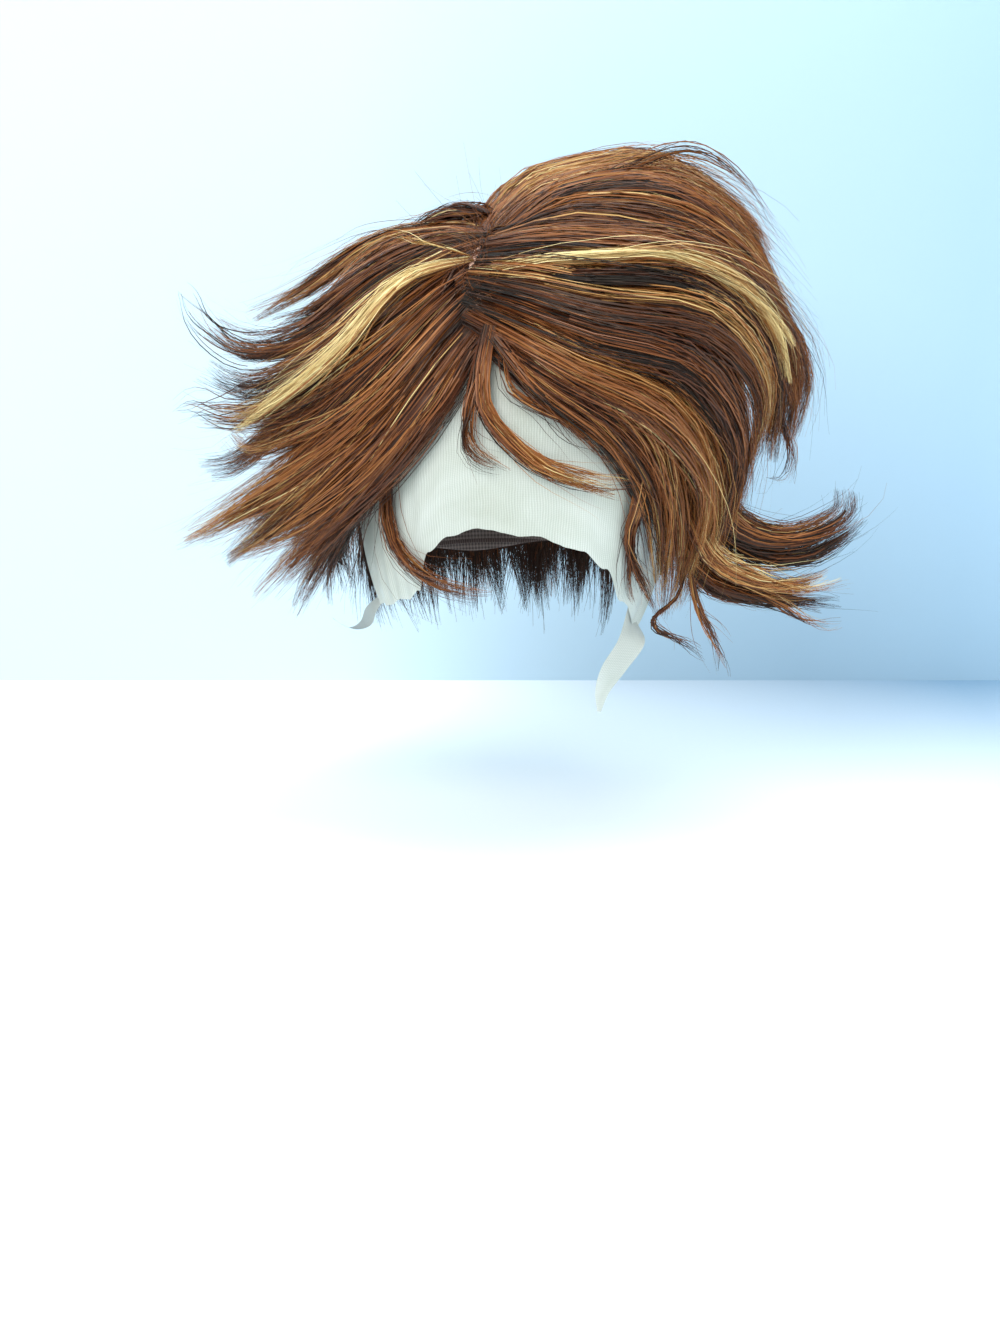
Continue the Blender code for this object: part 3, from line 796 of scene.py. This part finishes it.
def addLoose(bundle, settings, rng):
    # Fine hairs that stand up along the part
    count = settings["hairs"]
    roots = zip(rng.uniform(*settings["toward"], count), rng.normal(0, settings["aside"], count))
    start = np.array([partRoot(toward, aside) for toward, aside in roots])
    s = np.linspace(0, 1, strandForm["stations"])[None, :, None]
    reach = rng.uniform(*settings["reach"], (count, 1, 1)) * mm
    rise = unit(rng.normal(size=(count, 1, 3)) * (1.0, 0.8, 0.3) + (0, 0, 0.9))
    bend = unit(rng.normal(size=(count, 1, 3)) + (0, 0, -0.3))
    points = start[:, None] + (rise * s + bend * 0.5 * s**2) * reach
    radius = settings["radius"] * (1 - 0.6 * s[..., 0]) * rng.uniform(0.8, 1.2, (count, 1))
    tone = settings["tone"] + rng.normal(0, settings["toneSpread"], (count, 1)) + 0 * s[..., 0]
    bundle.addStrands({"points": points, "radius": radius, "tone": tone, "along": 0.3 + 0.7 * s[..., 0],
                       "facing": rng.normal(size=(count, 3)) + (0, -1.5, 0)})


def wrapped(azimuth):
    return (azimuth + 180) % 360 - 180


def dress(bundle, name, node, material, mapName="OFBake"):
    made = bundle.build(name, material, mapName)
    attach(made, "root")
    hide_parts(node)
    return made


makeCamera()
makeLights()
print("camera and lights")

copperHair = hairMaterial("copperHairFinish")

# Left of the part, in the photo's sense: flicks from the top down, then the fill behind them
leftHair = {
    "strands": 7300,
    "flow": {"strands": 700, "layer": (-120, 0), "azimuths": (-128, -50), "from": (30, 68),
             "past": (2, 22), "lift": (0.2, 3.0), "tone": 0.34, "tipTone": 0.30},
    "joined": range(11),
    "fromPart": range(9),
    "aside": -1.1,
    "wisps": [
        (Lock([(-20, 92, 40), (-40, 98, 44), (-62, 102, 40)], 2, 1, 0.86, 0.84), 14),
        (Lock([(-30, 108, -16), (-62, 100, -27), (-88, 85, -31), (-110, 68, -32)],
              12, 6, 0.42, 0.40), 36),
        (Lock([(-20, 48, 80), (-36, 22, 85), (-54, 0, 77), (-64, -20, 68)], 12, 4, 0.40, 0.40), 36),
        (Lock([(-104, 50, 8), (-128, 50, 4), (-146, 62, 0), (-157, 78, -4)], 20, 8, 0.36, 0.30), 24),
        (Lock([(-112, 24, 26), (-132, 20, 20), (-150, 22, 16), (-165, 20, 12)], 22, 8, 0.36, 0.30), 24),
    ],
    "locks": [
        Lock([(-20, 109, -14), (-44, 102, -24), (-68, 96, -30), (-98, 76, -32), (-123, 61, -30)],
             18, 8, 0.55, 0.52),
        Lock([(-21, 104, -4), (-48, 95, -6), (-72, 80, -8), (-92, 67, -8), (-112, 58, -6)],
             24, 12, 0.48, 0.32),
        Lock([(-22, 96, 8), (-55, 83, 8), (-95, 56, 6), (-125, 48, 2), (-142, 60, -2)],
             26, 13, 0.50, 0.46),
        Lock([(-24, 89, 20), (-62, 69, 26), (-103, 38, 22), (-128, 31, 16), (-148, 42, 10)],
             26, 14, 0.44, 0.22),
        Lock([(-25, 82, 34), (-65, 53, 44), (-105, 23, 34), (-130, 14, 26), (-150, 15, 20)],
             26, 13, 0.50, 0.62),
        Lock([(-24, 76, 46), (-66, 38, 54), (-100, 12, 42), (-125, 1, 34), (-136, 12, 32)],
             26, 13, 0.46, 0.56),
        Lock([(-23, 72, 56), (-62, 24, 64), (-100, -8, 48), (-138, -32, 34), (-161, -44, 28)],
             26, 13, 0.47, 0.62),
        Lock([(-21, 66, 64), (-56, 10, 70), (-90, -22, 56), (-118, -41, 42), (-140, -53, 34)],
             26, 13, 0.42, 0.60),
        Lock([(-18, 60, 72), (-44, 20, 79), (-76, -20, 62), (-104, -52, 44), (-123, -74, 36)],
             22, 12, 0.48, 0.54),
        Lock([(-32, 46, 66), (-62, 4, 64), (-83, -33, 48), (-96, -57, 36), (-108, -81, 30)],
             18, 10, 0.46, 0.48),
        Lock([(-46, 34, 50), (-72, -5, 47), (-84, -37, 33), (-88, -56, 24), (-90, -74, 20)],
             18, 11, 0.42, 0.38),
        Lock([(-56, 20, 30), (-78, -8, 26), (-84, -34, 14), (-83, -52, 8), (-79, -68, 4)],
             26, 12, 0.30, 0.16),
        Lock([(-36, 86, -14), (-78, 54, -18), (-108, 18, -14), (-131, -4, -10), (-150, -8, -6)],
             30, 14, 0.38, 0.34),
        Lock([(-58, 50, -14), (-88, 18, -18), (-106, -18, -16), (-122, -40, -12), (-138, -56, -8)],
             30, 14, 0.34, 0.40),
        Lock([(-9, 111, -12), (-24, 111, -26), (-42, 102, -42), (-60, 84, -56)], 26, 9, 0.58, 0.48),
    ],
}

# Over the top, swept to the right
crownHair = {
    "strands": 7800,
    "joined": range(3),
    "fromPart": range(4),
    "aside": 1.1,
    "loose": {"hairs": 150, "toward": (-14, 62), "aside": 3, "reach": (6, 34), "radius": 0.085 * mm,
              "tone": 0.42, "toneSpread": 0.12},
    "wisps": [
        (Lock([(46, 128, -26), (80, 139, -18), (104, 128, -10), (124, 100, -4)],
              14, 7, 0.42, 0.40), 28),
        (Lock([(-2, 106, -14), (24, 122, -22), (66, 131, -26), (102, 110, -20)],
              22, 9, 0.50, 0.42), 44),
        (Lock([(108, 60, 0), (126, 20, 16), (134, -2, 22), (130, -14, 24), (122, -12, 24)],
              7, 4, 0.44, 0.40), 60),
    ],
    "locks": [
        Lock([(-3, 109, -20), (10, 121, -30), (30, 127, -37), (66, 131, -40), (104, 111, -38),
              (124, 74, -30)],
             22, 10, 0.52, 0.50),
        Lock([(-2, 104, -10), (26, 118, -14), (70, 121, -16), (106, 98, -12), (127, 58, -6)],
             28, 14, 0.54, 0.52),
        Lock([(-3, 98, 4), (42, 109, 4), (96, 92, 6), (134, 46, 6), (130, 4, 4)], 28, 14, 0.44, 0.50),
        Lock([(-4, 96, 20), (36, 98, 26), (82, 92, 24), (116, 62, 20), (130, 22, 14)],
             28, 13, 0.52, 0.50),
    ],
}

# Right of the part, the mass beside the opening, and the flicks under it
rightHair = {
    "strands": 7100,
    "flow": {"strands": 600, "layer": (0, 120), "azimuths": (20, 126), "from": (30, 66),
             "past": (2, 22), "lift": (0.2, 3.0), "tone": 0.34, "tipTone": 0.36},
    "joined": (0, 1, 2, 3, 5, 6),
    "fromPart": range(5),
    "aside": 1.1,
    "wisps": [
        (Lock([(86, -50, 40), (90, -72, 40), (101, -96, 34), (107, -112, 30)], 5, 3, 0.52, 0.56), 40),
        (Lock([(84, -60, 44), (80, -72, 50), (69, -83, 54), (80, -92, 50), (97, -101, 44)],
              3, 2, 0.46, 0.50), 22),
        (Lock([(100, -50, 36), (124, -70, 34), (150, -84, 30), (166, -84, 26)], 10, 6, 0.52, 0.50), 26),
        (Lock([(-6, 46, 84), (-1, 28, 90), (28, 12, 93), (58, -12, 86)], 7, 3, 0.46, 0.50), 26),
        # Painted shade: a near black lock in the hollow under the right blond lock
        (Lock([(2, 85, 43), (34, 83, 65), (66, 82, 65), (92, 72, 59), (118, 44, 44)],
              9, 4, 0.12, 0.26), 320),
        (Lock([(-10, 54, 82), (8, 31, 91), (30, 8, 94), (50, -6, 91)], 9, 3, 0.46, 0.46), 26),
    ],
    "locks": [
        # Painted shade: the first row is dark for the hollow under the blond lock, the third for the hollow
        # under the copper band
        Lock([(-5, 88, 32), (40, 91, 42), (92, 80, 40), (125, 42, 30), (122, -6, 22)],
             28, 13, 0.30, 0.42),
        Lock([(-6, 84, 40), (40, 77, 62), (92, 67, 58), (120, 28, 42), (108, -24, 30)],
             28, 13, 0.57, 0.55),
        Lock([(-6, 78, 52), (38, 58, 76), (84, 44, 72), (108, 2, 52), (94, -56, 36)],
             30, 15, 0.33, 0.50),
        Lock([(-7, 70, 62), (30, 44, 84), (72, 22, 80), (95, -18, 56), (84, -70, 42)],
             28, 14, 0.59, 0.66),
        Lock([(-8, 60, 70), (20, 32, 90), (50, 9, 86), (70, -30, 66), (72, -84, 48)],
             18, 10, 0.48, 0.62),
        Lock([(54, 26, 66), (74, 0, 60), (82, -34, 48), (82, -62, 40), (76, -80, 36)],
             20, 11, 0.50, 0.62),
        Lock([(62, 50, 22), (96, 14, 20), (102, -22, 16), (96, -48, 12), (86, -74, 10)],
             32, 18, 0.50, 0.63),
        Lock([(62, 50, -12), (98, 16, -18), (102, -20, -22), (94, -46, -24), (86, -70, -26)],
             32, 18, 0.38, 0.46),
        Lock([(86, 4, 40), (104, -33, 36), (134, -43, 30), (160, -30, 26), (158, -11, 24)],
             16, 10, 0.30, 0.18),
        Lock([(88, -8, 28), (110, -43, 28), (138, -50, 24), (160, -40, 20), (174, -28, 18)],
             14, 8, 0.34, 0.28),
        Lock([(82, -20, 46), (96, -51, 44), (118, -63, 38), (140, -65, 32), (158, -59, 28)],
             16, 9, 0.58, 0.66),
        Lock([(82, -30, 34), (94, -58, 34), (118, -68, 30), (142, -72, 26), (162, -74, 24)],
             16, 8, 0.52, 0.32),
    ],
}

backHair = {
    "strands": 6900,
    "flow": {"strands": 1200, "layer": (120, 240), "azimuths": (116, 244), "from": (30, 72),
             "past": (-24, 6), "lift": (0.2, 4.0), "tone": 0.34, "tipTone": 0.32},
    "joined": range(8),
    "fromPart": range(9),
    "aside": 0.5,
    "locks": [
        Lock([(-34, 88, -36), (-66, 60, -56), (-88, 20, -60), (-97, -20, -56), (-106, -50, -52)],
             32, 15, 0.42, 0.50),
        Lock([(-28, 92, -42), (-52, 62, -78), (-68, 16, -88), (-74, -26, -84), (-76, -62, -82)],
             34, 15, 0.46, 0.50),
        Lock([(-18, 94, -46), (-30, 64, -92), (-42, 14, -106), (-46, -30, -100), (-46, -68, -96)],
             34, 15, 0.42, 0.46),
        Lock([(-6, 94, -48), (-8, 64, -98), (-13, 12, -112), (-14, -34, -106), (-14, -72, -100)],
             34, 15, 0.46, 0.52),
        Lock([(8, 94, -48), (16, 64, -96), (20, 12, -108), (18, -34, -102), (18, -72, -96)],
             34, 15, 0.42, 0.48),
        Lock([(18, 92, -46), (44, 60, -86), (54, 10, -94), (52, -32, -90), (48, -70, -86)],
             34, 15, 0.46, 0.50),
        Lock([(28, 88, -40), (68, 58, -66), (84, 10, -70), (82, -32, -68), (76, -68, -66)],
             34, 16, 0.42, 0.46),
        Lock([(20, 96, -38), (62, 96, -54), (98, 62, -50), (108, 18, -44), (102, -22, -40)],
             32, 15, 0.44, 0.50),
        Lock([(6, 98, -38), (30, 114, -58), (62, 113, -64), (92, 88, -61), (108, 48, -54)],
             30, 14, 0.44, 0.48),
    ],
}

smallLocks = {
    # name: node, slot, strands, mm aside of the part for those that leave it, locks
    "forelockStrands": ("forelock", "copper_hair", 260, 0, [
        Lock([(-11, 60, 75), (-17, 34, 86), (-21, 20, 90), (-22, 8, 92), (-19, 0, 94), (-10, -7, 96),
              (-1, -11, 97)],
             6, 3, 0.50, 0.52),
        Lock([(-11, 60, 75), (-15, 38, 85), (-15, 22, 90), (-9, 11, 93), (1, 1, 95), (14, -8, 96),
              (29, -13, 96), (44, -16, 93), (60, -17, 88)], 6, 3, 0.52, 0.56)]),
    "leftFaceStrands": ("face_lock_left", "dark_hair", 130, 0, [Lock(
        [(-38, 30, 76), (-54, 6, 71), (-61, -18, 62), (-58, -44, 64), (-44, -61, 76), (-24, -69, 88),
         (-8, -70, 95)],
        5, 3, 0.38, 0.44)]),
    "rightFaceStrands": ("face_lock_right", "copper_hair", 220, 0, [Lock(
        [(66, 4, 72), (61, -26, 74), (57, -44, 72), (62, -65, 64), (68, -77, 56)], 7, 4, 0.42, 0.44)]),
    "leftHighlight": ("highlight_left", "blond_hair", 620, -1.1, [Lock(
        [(-27, 89, 36), (-45, 84, 42), (-62, 72, 47), (-80, 50, 51), (-98, 34, 47), (-119, 22, 39),
         (-136, 11, 32)],
        6.5, 4, 0.90, 0.92)]),
    "rightHighlight": ("highlight_right", "blond_hair", 620, 1.1, [Lock(
        [(2, 89, 46), (20, 91, 51), (40, 92, 53), (74, 93, 49), (104, 79, 44), (124, 57, 38), (132, 32, 29)],
        8, 4.5, 0.92, 0.93)]),
}

napeHair = {
    "strands": 3600,
    "clumps": 190,
    "azimuths": (121, 239),
    "from": (-38, -18),  # mm up, at the root
    "to": (-82, -56),
    "toSpread": 4,
    "lift": (2.5, 6),
    "spread": 7,
    "spreadRange": (0.3, 1.6),
    "lean": 6,  # degrees, of a clump
    "width": 4.5,  # degrees, of a clump at its roots
    "radiusRange": (0.6, 1.1),
    "tone": 0.12,
    "tipTone": 0.18,
    "toneSpread": 0.06,
}


def makeNape(settings, rng):
    bundle = Bundle()
    count = strandCount(settings["strands"])
    clumps = settings["clumps"]
    own = rng.integers(0, clumps, count)
    middle = rng.uniform(*settings["azimuths"], clumps)[own, None]
    end = rng.uniform(*settings["to"], clumps)[own, None]
    end = end + rng.normal(0, settings["toSpread"], (count, 1))
    lean = rng.normal(0, settings["lean"], clumps)[own, None]
    s = np.linspace(0, 1, strandForm["stations"])[None, :]
    start = rng.uniform(*settings["from"], (count, 1))
    height = (start + (end - start) * s) * mm
    lift = rng.uniform(*settings["lift"], (count, 1))
    lift = lift + settings["spread"] * s**2 * rng.uniform(*settings["spreadRange"], clumps)[own, None]
    turn = middle + rng.normal(0, settings["width"], (count, 1)) * (1 - 0.72 * s) + lean * s**1.5
    points = onDome(turn, slopeAt(height), lift * mm)
    radius = strandForm["radius"] * (1 - 0.75 * eased(0.5, 1, s))
    radius = radius * rng.uniform(*settings["radiusRange"], (count, 1))
    tone = settings["tone"] + rng.normal(0, settings["toneSpread"], (count, 1))
    tone = tone + (settings["tipTone"] - settings["tone"]) * s
    facing = points[:, (strandForm["stations"] - 1) // 2] + rng.normal(0, flowForm["twist"], (count, 3))
    bundle.addStrands({"points": points, "radius": radius, "tone": tone, "along": s, "facing": facing})
    return bundle


hairPieces = [
    ("leftStrands", "hair_left", leftHair),
    ("crownStrands", "hair_crown", crownHair),
    ("rightStrands", "hair_right", rightHair),
    ("backStrands", "hair_back", backHair),
]


def makeHair():
    for seed, (name, node, settings) in enumerate(hairPieces):
        rng = np.random.default_rng(seed)
        bundle = Bundle()
        grow(bundle, settings["locks"], settings["strands"], rng, settings["joined"],
             fromPart=settings["fromPart"], aside=settings["aside"])
        for wisp, wispCount in settings.get("wisps", ()):
            grow(bundle, [wisp], wispCount, rng, cores=False)
        if "flow" in settings:
            addFlow(bundle, settings["flow"], rng)
            addLayer(bundle, settings["flow"]["layer"], rng)
        if "loose" in settings:
            addLoose(bundle, settings["loose"], rng)
        dress(bundle, name, node, copperHair)
    for seed, (name, (node, slot, count, aside, locks)) in enumerate(smallLocks.items()):
        rng = np.random.default_rng(20 + seed)
        bundle = Bundle()
        grow(bundle, locks, count, rng, cores=False, fromPart=range(len(locks)), aside=aside)
        dress(bundle, name, node, copperHair)
    nape = makeNape(napeHair, np.random.default_rng(30))
    dress(nape, "napeStrands", "hair_nape", copperHair)


makeHair()
print("hair")

# Lace, from the hairline down to its cut edge
lace = {
    "azimuths": (-90, 81),
    "columns": 200,
    "rows": 60,
    "offset": 0.6 * mm,
    "under": 2 * mm,  # how far it runs up under the hair
    "ragged": 0.7 * mm,  # along the cut edge
    "ripple": 1.2 * mm,
    "ripples": 11,
    "crease": 0.5 * mm,
    "mapEnds": (0.01, 0.99),
    "alpha": 0.87,
    "tone": fromScreen(203, 207, 198),
    "shadeTone": fromScreen(178, 182, 168),
    "knotTone": fromScreen(122, 96, 72),
    "knotShare": 0.62,  # at the hairline, none lower down
    "ribs": 195,
    "picks": 110,
}
tabForm = {
    "columns": 14,
    "rows": 40,
    "overlap": 1.5 * mm,  # up over the front's cut edge
    "mapAcross": (0.4, 0.48),
    "mapDown": (0.1, 0.5),
}
laceTabs = {
    "laceTabLeft": {
        "node": "lace_tab_left",
        "azimuths": (-90, -80),
        "rows": [((-71, -76, -4), (-66, -78, 9)), ((-74, -83, -3), (-69, -85, 9)),
                 ((-80, -86, -1), (-77, -87, 10)), ((-88, -81, 2), (-87, -82, 9))],
        "flat": (0.014, 0.055),
        "area": 0.00042,
    },
    "laceTabRight": {
        "node": "lace_tab_right",
        "azimuths": (36, 54),
        "rows": [((52, -92, 50), (65, -94, 42)), ((44, -106, 50), (56, -108, 43)),
                 ((41, -118, 48), (48, -119, 44)), ((42, -129, 46), (44, -129, 45))],
        "flat": (0.027, 0.053),
        "area": 0.000645,
    },
}


def laceMaterial():
    made, tree, shader = newMaterial("sheerLaceFinish", 0.62)
    across, down, _ = splitWire(tree, addNode(tree, "ShaderNodeUVMap", {"uv_map": "OFBake"}, {}))
    wander = noiseWire(tree, joinWire(tree, across * 14, down * 4), 1.0, 4.0) * 16
    ribs = (across * (fullTurn * lace["ribs"]) + wander).sine() * 0.5 + 0.5
    cross = (down * (fullTurn * lace["picks"]) + across * 40).sine() * 0.5 + 0.5
    weave = ribs * 0.7 + cross * 0.3
    cloudy = noiseWire(tree, joinWire(tree, across * 6, down * 4), 1.0, 3.0)
    level = (weave * 0.35 + (cloudy - 0.5) * 1.8 + 0.4).clipped()
    plain = mixColours(tree, level, lace["shadeTone"], lace["tone"])
    knots = (1 - down * 2.4).clipped() * lace["knotShare"] * (0.4 + weave * 0.6)
    feed(tree, shader, "Base Color", mixColours(tree, knots, plain, lace["knotTone"]))
    feed(tree, shader, "Alpha", (lace["alpha"] - 0.10 + weave * 0.18).clipped())
    bump = addNode(tree, "ShaderNodeBump", {}, {"Strength": 0.35, "Distance": 0.0004, "Height": weave})
    feed(tree, shader, "Normal", bump)
    return made


def sheetArea(grid):
    first = grid[1:, 1:] - grid[:-1, :-1]
    second = grid[1:, :-1] - grid[:-1, 1:]
    return np.linalg.norm(np.cross(first, second), axis=2).sum() / 2


def laidFlat(grid):  # width and length of a narrow sheet unrolled along its middle line
    middle = grid[:, grid.shape[1] // 2]
    reach = np.concatenate([[0], np.cumsum(np.linalg.norm(np.diff(middle, axis=0), axis=1))])
    along = unit(np.gradient(middle, axis=0))
    across = grid[:, -1] - grid[:, 0]
    across = unit(across - along * (across * along).sum(axis=1, keepdims=True))
    offset = grid - middle[:, None]
    sideways = (offset * across[:, None]).sum(axis=2)
    lengthways = reach[:, None] + (offset * along[:, None]).sum(axis=2)
    return np.ptp(sideways), np.ptp(lengthways)


def makeLace():
    finish = laceMaterial()
    rng = np.random.default_rng(50)
    columns, rows = lace["columns"], lace["rows"]
    azimuths = np.linspace(*lace["azimuths"], columns)[None, :]
    t = np.linspace(0, 1, rows)[:, None]
    ragged = np.convolve(rng.normal(size=columns + 8), np.ones(9) / 9, "valid")[None, :] * lace["ragged"]
    top = slopeAt(edgeHeight(capEdge, np.abs(azimuths)) + lace["under"])
    bottom = slopeAt(edgeHeight(laceEdge, azimuths) + ragged)
    swell = 0.5 + 0.5 * np.sin(lace["ripples"] * math.pi * np.linspace(0, 1, columns))
    crease = lace["crease"] * t * np.sin(azimuths * 0.9 + 2 * t) * eased(30, 70, np.abs(azimuths))
    wave = lace["ripple"] * t**2 * swell
    grid = onDome(azimuths, top + (bottom - top) * t, lace["offset"] + wave + crease)
    bundle = Bundle()
    bundle.addGrid(grid, *evenMap(grid, lace["mapEnds"], lace["mapEnds"]))
    front = dress(bundle, "laceFront", "lace_front", finish)
    width = np.linalg.norm(np.diff(grid, axis=1), axis=2).sum(axis=1).max()
    drop = np.linalg.norm(np.diff(grid, axis=0), axis=2).sum(axis=0).max()
    print(f"laceFront {width:.4f} by {drop:.4f} m laid flat, area {sheetArea(grid):.6f}")
    for name, tab in laceTabs.items():
        makeTab(name, tab, finish)


def makeTab(name, tab, finish):
    # Smooth flap between the lace's edge and the table's rows
    columns = tabForm["columns"]
    azimuths = np.linspace(*tab["azimuths"], columns)
    height = edgeHeight(laceEdge, azimuths) + tabForm["overlap"]
    rows = [onDome(azimuths, slopeAt(height), lace["offset"])]
    for left, right in tab["rows"]:
        rows.append(place(*left) + (place(*right) - place(*left)) * np.linspace(0, 1, columns)[:, None])
    coarse = np.array(rows)
    places = np.linspace(0, len(rows) - 1, tabForm["rows"])
    low = np.minimum(places.astype(int), len(rows) - 2)
    rest = places - low
    padded = np.concatenate([[2 * coarse[0] - coarse[1]], coarse, [2 * coarse[-1] - coarse[-2]]])
    grid = curveBetween(*(padded[low + i] for i in range(4)), rest[:, None, None])
    bundle = Bundle()
    bundle.addGrid(grid, *evenMap(grid, tabForm["mapAcross"], tabForm["mapDown"]))
    made = dress(bundle, name, tab["node"], finish)
    width, length = laidFlat(grid)
    print(f"{name} {width:.4f} by {length:.4f} m laid flat, area {sheetArea(grid):.6f}")


# Cap net, seen inside and at the nape
cap = {
    "columns": 120,
    "rows": 34,
    "top": 89.6,  # degrees up, just short of the pole
    "inner": 0.1 * mm,
    "wall": 1.3 * mm,
    "netAround": 150,
    "netUp": 1500,
    "weftEvery": 7.5 * mm,
    "stitches": 420,
    "netTone": fromScreen(112, 98, 92),
    "holeTone": fromScreen(52, 40, 36),
    "weftTone": fromScreen(44, 24, 18),
}


def capMaterial():
    made, tree, shader = newMaterial("capNetFinish", 0.78)
    x, y, z = splitWire(tree, addNode(tree, "ShaderNodeTexCoord", {}, {}, 3))
    turn = x.maths("ARCTAN2", x, y)
    around, up = cap["netAround"], cap["netUp"]
    net = (turn * around + z * up).sine() * (turn * around - z * up).sine() * 0.5 + 0.5
    mesh = mixColours(tree, net, cap["holeTone"], cap["netTone"])
    band = (z * (fullTurn / cap["weftEvery"])).sine()
    stripe = ((band - 0.55) * 4).clipped()
    stitch = (turn * cap["stitches"]).sine() * 0.5 + 0.5
    thread = mixColours(tree, stitch * 0.4, cap["weftTone"], cap["netTone"])
    feed(tree, shader, "Base Color", mixColours(tree, stripe, mesh, thread))
    lift = net * 0.4 + stripe * 0.6 + stitch * stripe * 0.3
    bump = addNode(tree, "ShaderNodeBump", {}, {"Strength": 0.6, "Distance": 0.0006, "Height": lift})
    feed(tree, shader, "Normal", bump)
    return made


def makeCap():
    columns, rows = cap["columns"], cap["rows"]
    azimuths = np.linspace(-180, 180, columns + 1)[None, :]
    t = np.linspace(0, 1, rows)[:, None]
    rim = slopeAt(edgeHeight(capEdge, np.abs(azimuths)))
    slopes = cap["top"] + (rim - cap["top"]) * t
    inner = onDome(azimuths, slopes, cap["inner"])
    outer = onDome(azimuths, slopes, cap["wall"])
    edge = onDome(azimuths, rim - 0.5, cap["wall"] / 2)
    grid = np.concatenate([inner, edge, outer[::-1]])
    bundle = Bundle()
    bundle.addGrid(grid, *evenMap(grid))
    dress(bundle, "wigCap", "wig_cap", capMaterial(), "capMap")


def partMaterial():
    made, tree, shader = newMaterial("knottedBaseFinish", 0.7)
    spot = addNode(tree, "ShaderNodeTexCoord", {}, {}, 3)
    cells = addNode(tree, "ShaderNodeTexVoronoi", {}, {"Vector": spot, "Scale": partStrip["knots"]})
    knot = 1 - ((cells - 0.18) * 6).clipped()
    pale = noiseWire(tree, spot, 300.0)
    base = mixColours(tree, pale, partStrip["baseTone"], partStrip["paleTone"])
    feed(tree, shader, "Base Color", mixColours(tree, knot * 0.8, base, partStrip["knotTone"]))
    bump = addNode(tree, "ShaderNodeBump", {}, {"Strength": 0.5, "Distance": 0.0003, "Height": knot})
    feed(tree, shader, "Normal", bump)
    return made


def makePart():
    line = np.array(partStrip["line"], float)
    rows, columns = partStrip["rows"], partStrip["columns"]
    t = np.linspace(0, len(line) - 1, rows)
    middle = np.stack([np.interp(t, np.arange(len(line)), line[:, k]) for k in (0, 1)], axis=-1)
    over = np.linspace(-1, 1, columns) * partStrip["halfWidth"]
    grid = np.empty((rows, columns, 3))
    for r, (across, toward) in enumerate(middle):
        for c, aside in enumerate(over):
            x, y = inPlan((across + aside) * mm, toward * mm)
            grid[r, c] = (x, y, heightOver(x, y, partStrip["offset"]))
    bundle = Bundle()
    bundle.addGrid(grid, *evenMap(grid))
    dress(bundle, "partStrip", "part_strip", partMaterial(), "partMap")


makeCap()
makePart()
makeLace()
print("cap, part and lace")


# Floor and wall
def stageMaterial(name, tone, shadeTone, seeThrough):
    made, tree, shader = newMaterial(name, 0.85)
    spot = addNode(tree, "ShaderNodeTexCoord", {}, {}, 3)
    x, y, _ = splitWire(tree, spot)
    right = x * math.cos(layout["turn"]) + y * math.sin(layout["turn"])
    # Painted light and shade: lighter on the left, where the key light falls, bluer and darker to the right
    shade = ((right + 0.10) * 2.6).clipped()
    if not seeThrough:  # the floor's painted shade fades towards the viewer
        toward = x * math.sin(layout["turn"]) - y * math.cos(layout["turn"])
        shade = shade * (1 - (toward + 0.27) * 2.8).clipped()
    soft = noiseWire(tree, spot, 1.6)
    grain = noiseWire(tree, spot, 400.0)
    level = (shade + (soft - 0.5) * 0.15 + (grain - 0.5) * 0.03).clipped()
    feed(tree, shader, "Base Color", mixColours(tree, level, tone, shadeTone))
    shader.inputs["Specular IOR Level"].default_value = 0.15
    if seeThrough:  # only its face is seen, so the other views look past its back
        clear = addNode(tree, "ShaderNodeBsdfTransparent", {}, {})
        behind = addNode(tree, "ShaderNodeNewGeometry", {}, {}, 6)
        both = addNode(tree, "ShaderNodeMixShader", {}, {0: behind, 1: Wire(shader.outputs[0]), 2: clear})
        tree.links.new(both.socket, tree.nodes["Material Output"].inputs["Surface"])
    return made


def addPlate(name, corners, finish, height=0):
    mesh = bpy.data.meshes.new(name)
    mesh.from_pydata(corners, [], [(0, 1, 2, 3)])
    mesh.materials.append(finish)
    made = bpy.data.objects.new(name, mesh)
    made.location.z = height
    bpy.context.scene.collection.objects.link(made)


def makeStage():
    size = stage["size"]
    low, high = stage["floorHeight"], stage["floorHeight"] + stage["wallHeight"]
    left = inPlan(-size, stage["wallToward"])
    right = inPlan(size, stage["wallToward"])
    floor = [(-size, -size, 0), (size, -size, 0), (size, size, 0), (-size, size, 0)]
    wall = [(*left, low), (*right, low), (*right, high), (*left, high)]
    floorFinish = stageMaterial("floorFinish", stage["floorTone"], stage["floorShade"], False)
    wallFinish = stageMaterial("wallFinish", stage["wallTone"], stage["wallShade"], True)
    addPlate("floor", floor, floorFinish, low)
    addPlate("wall", wall, wallFinish)


makeStage()
print("stage")
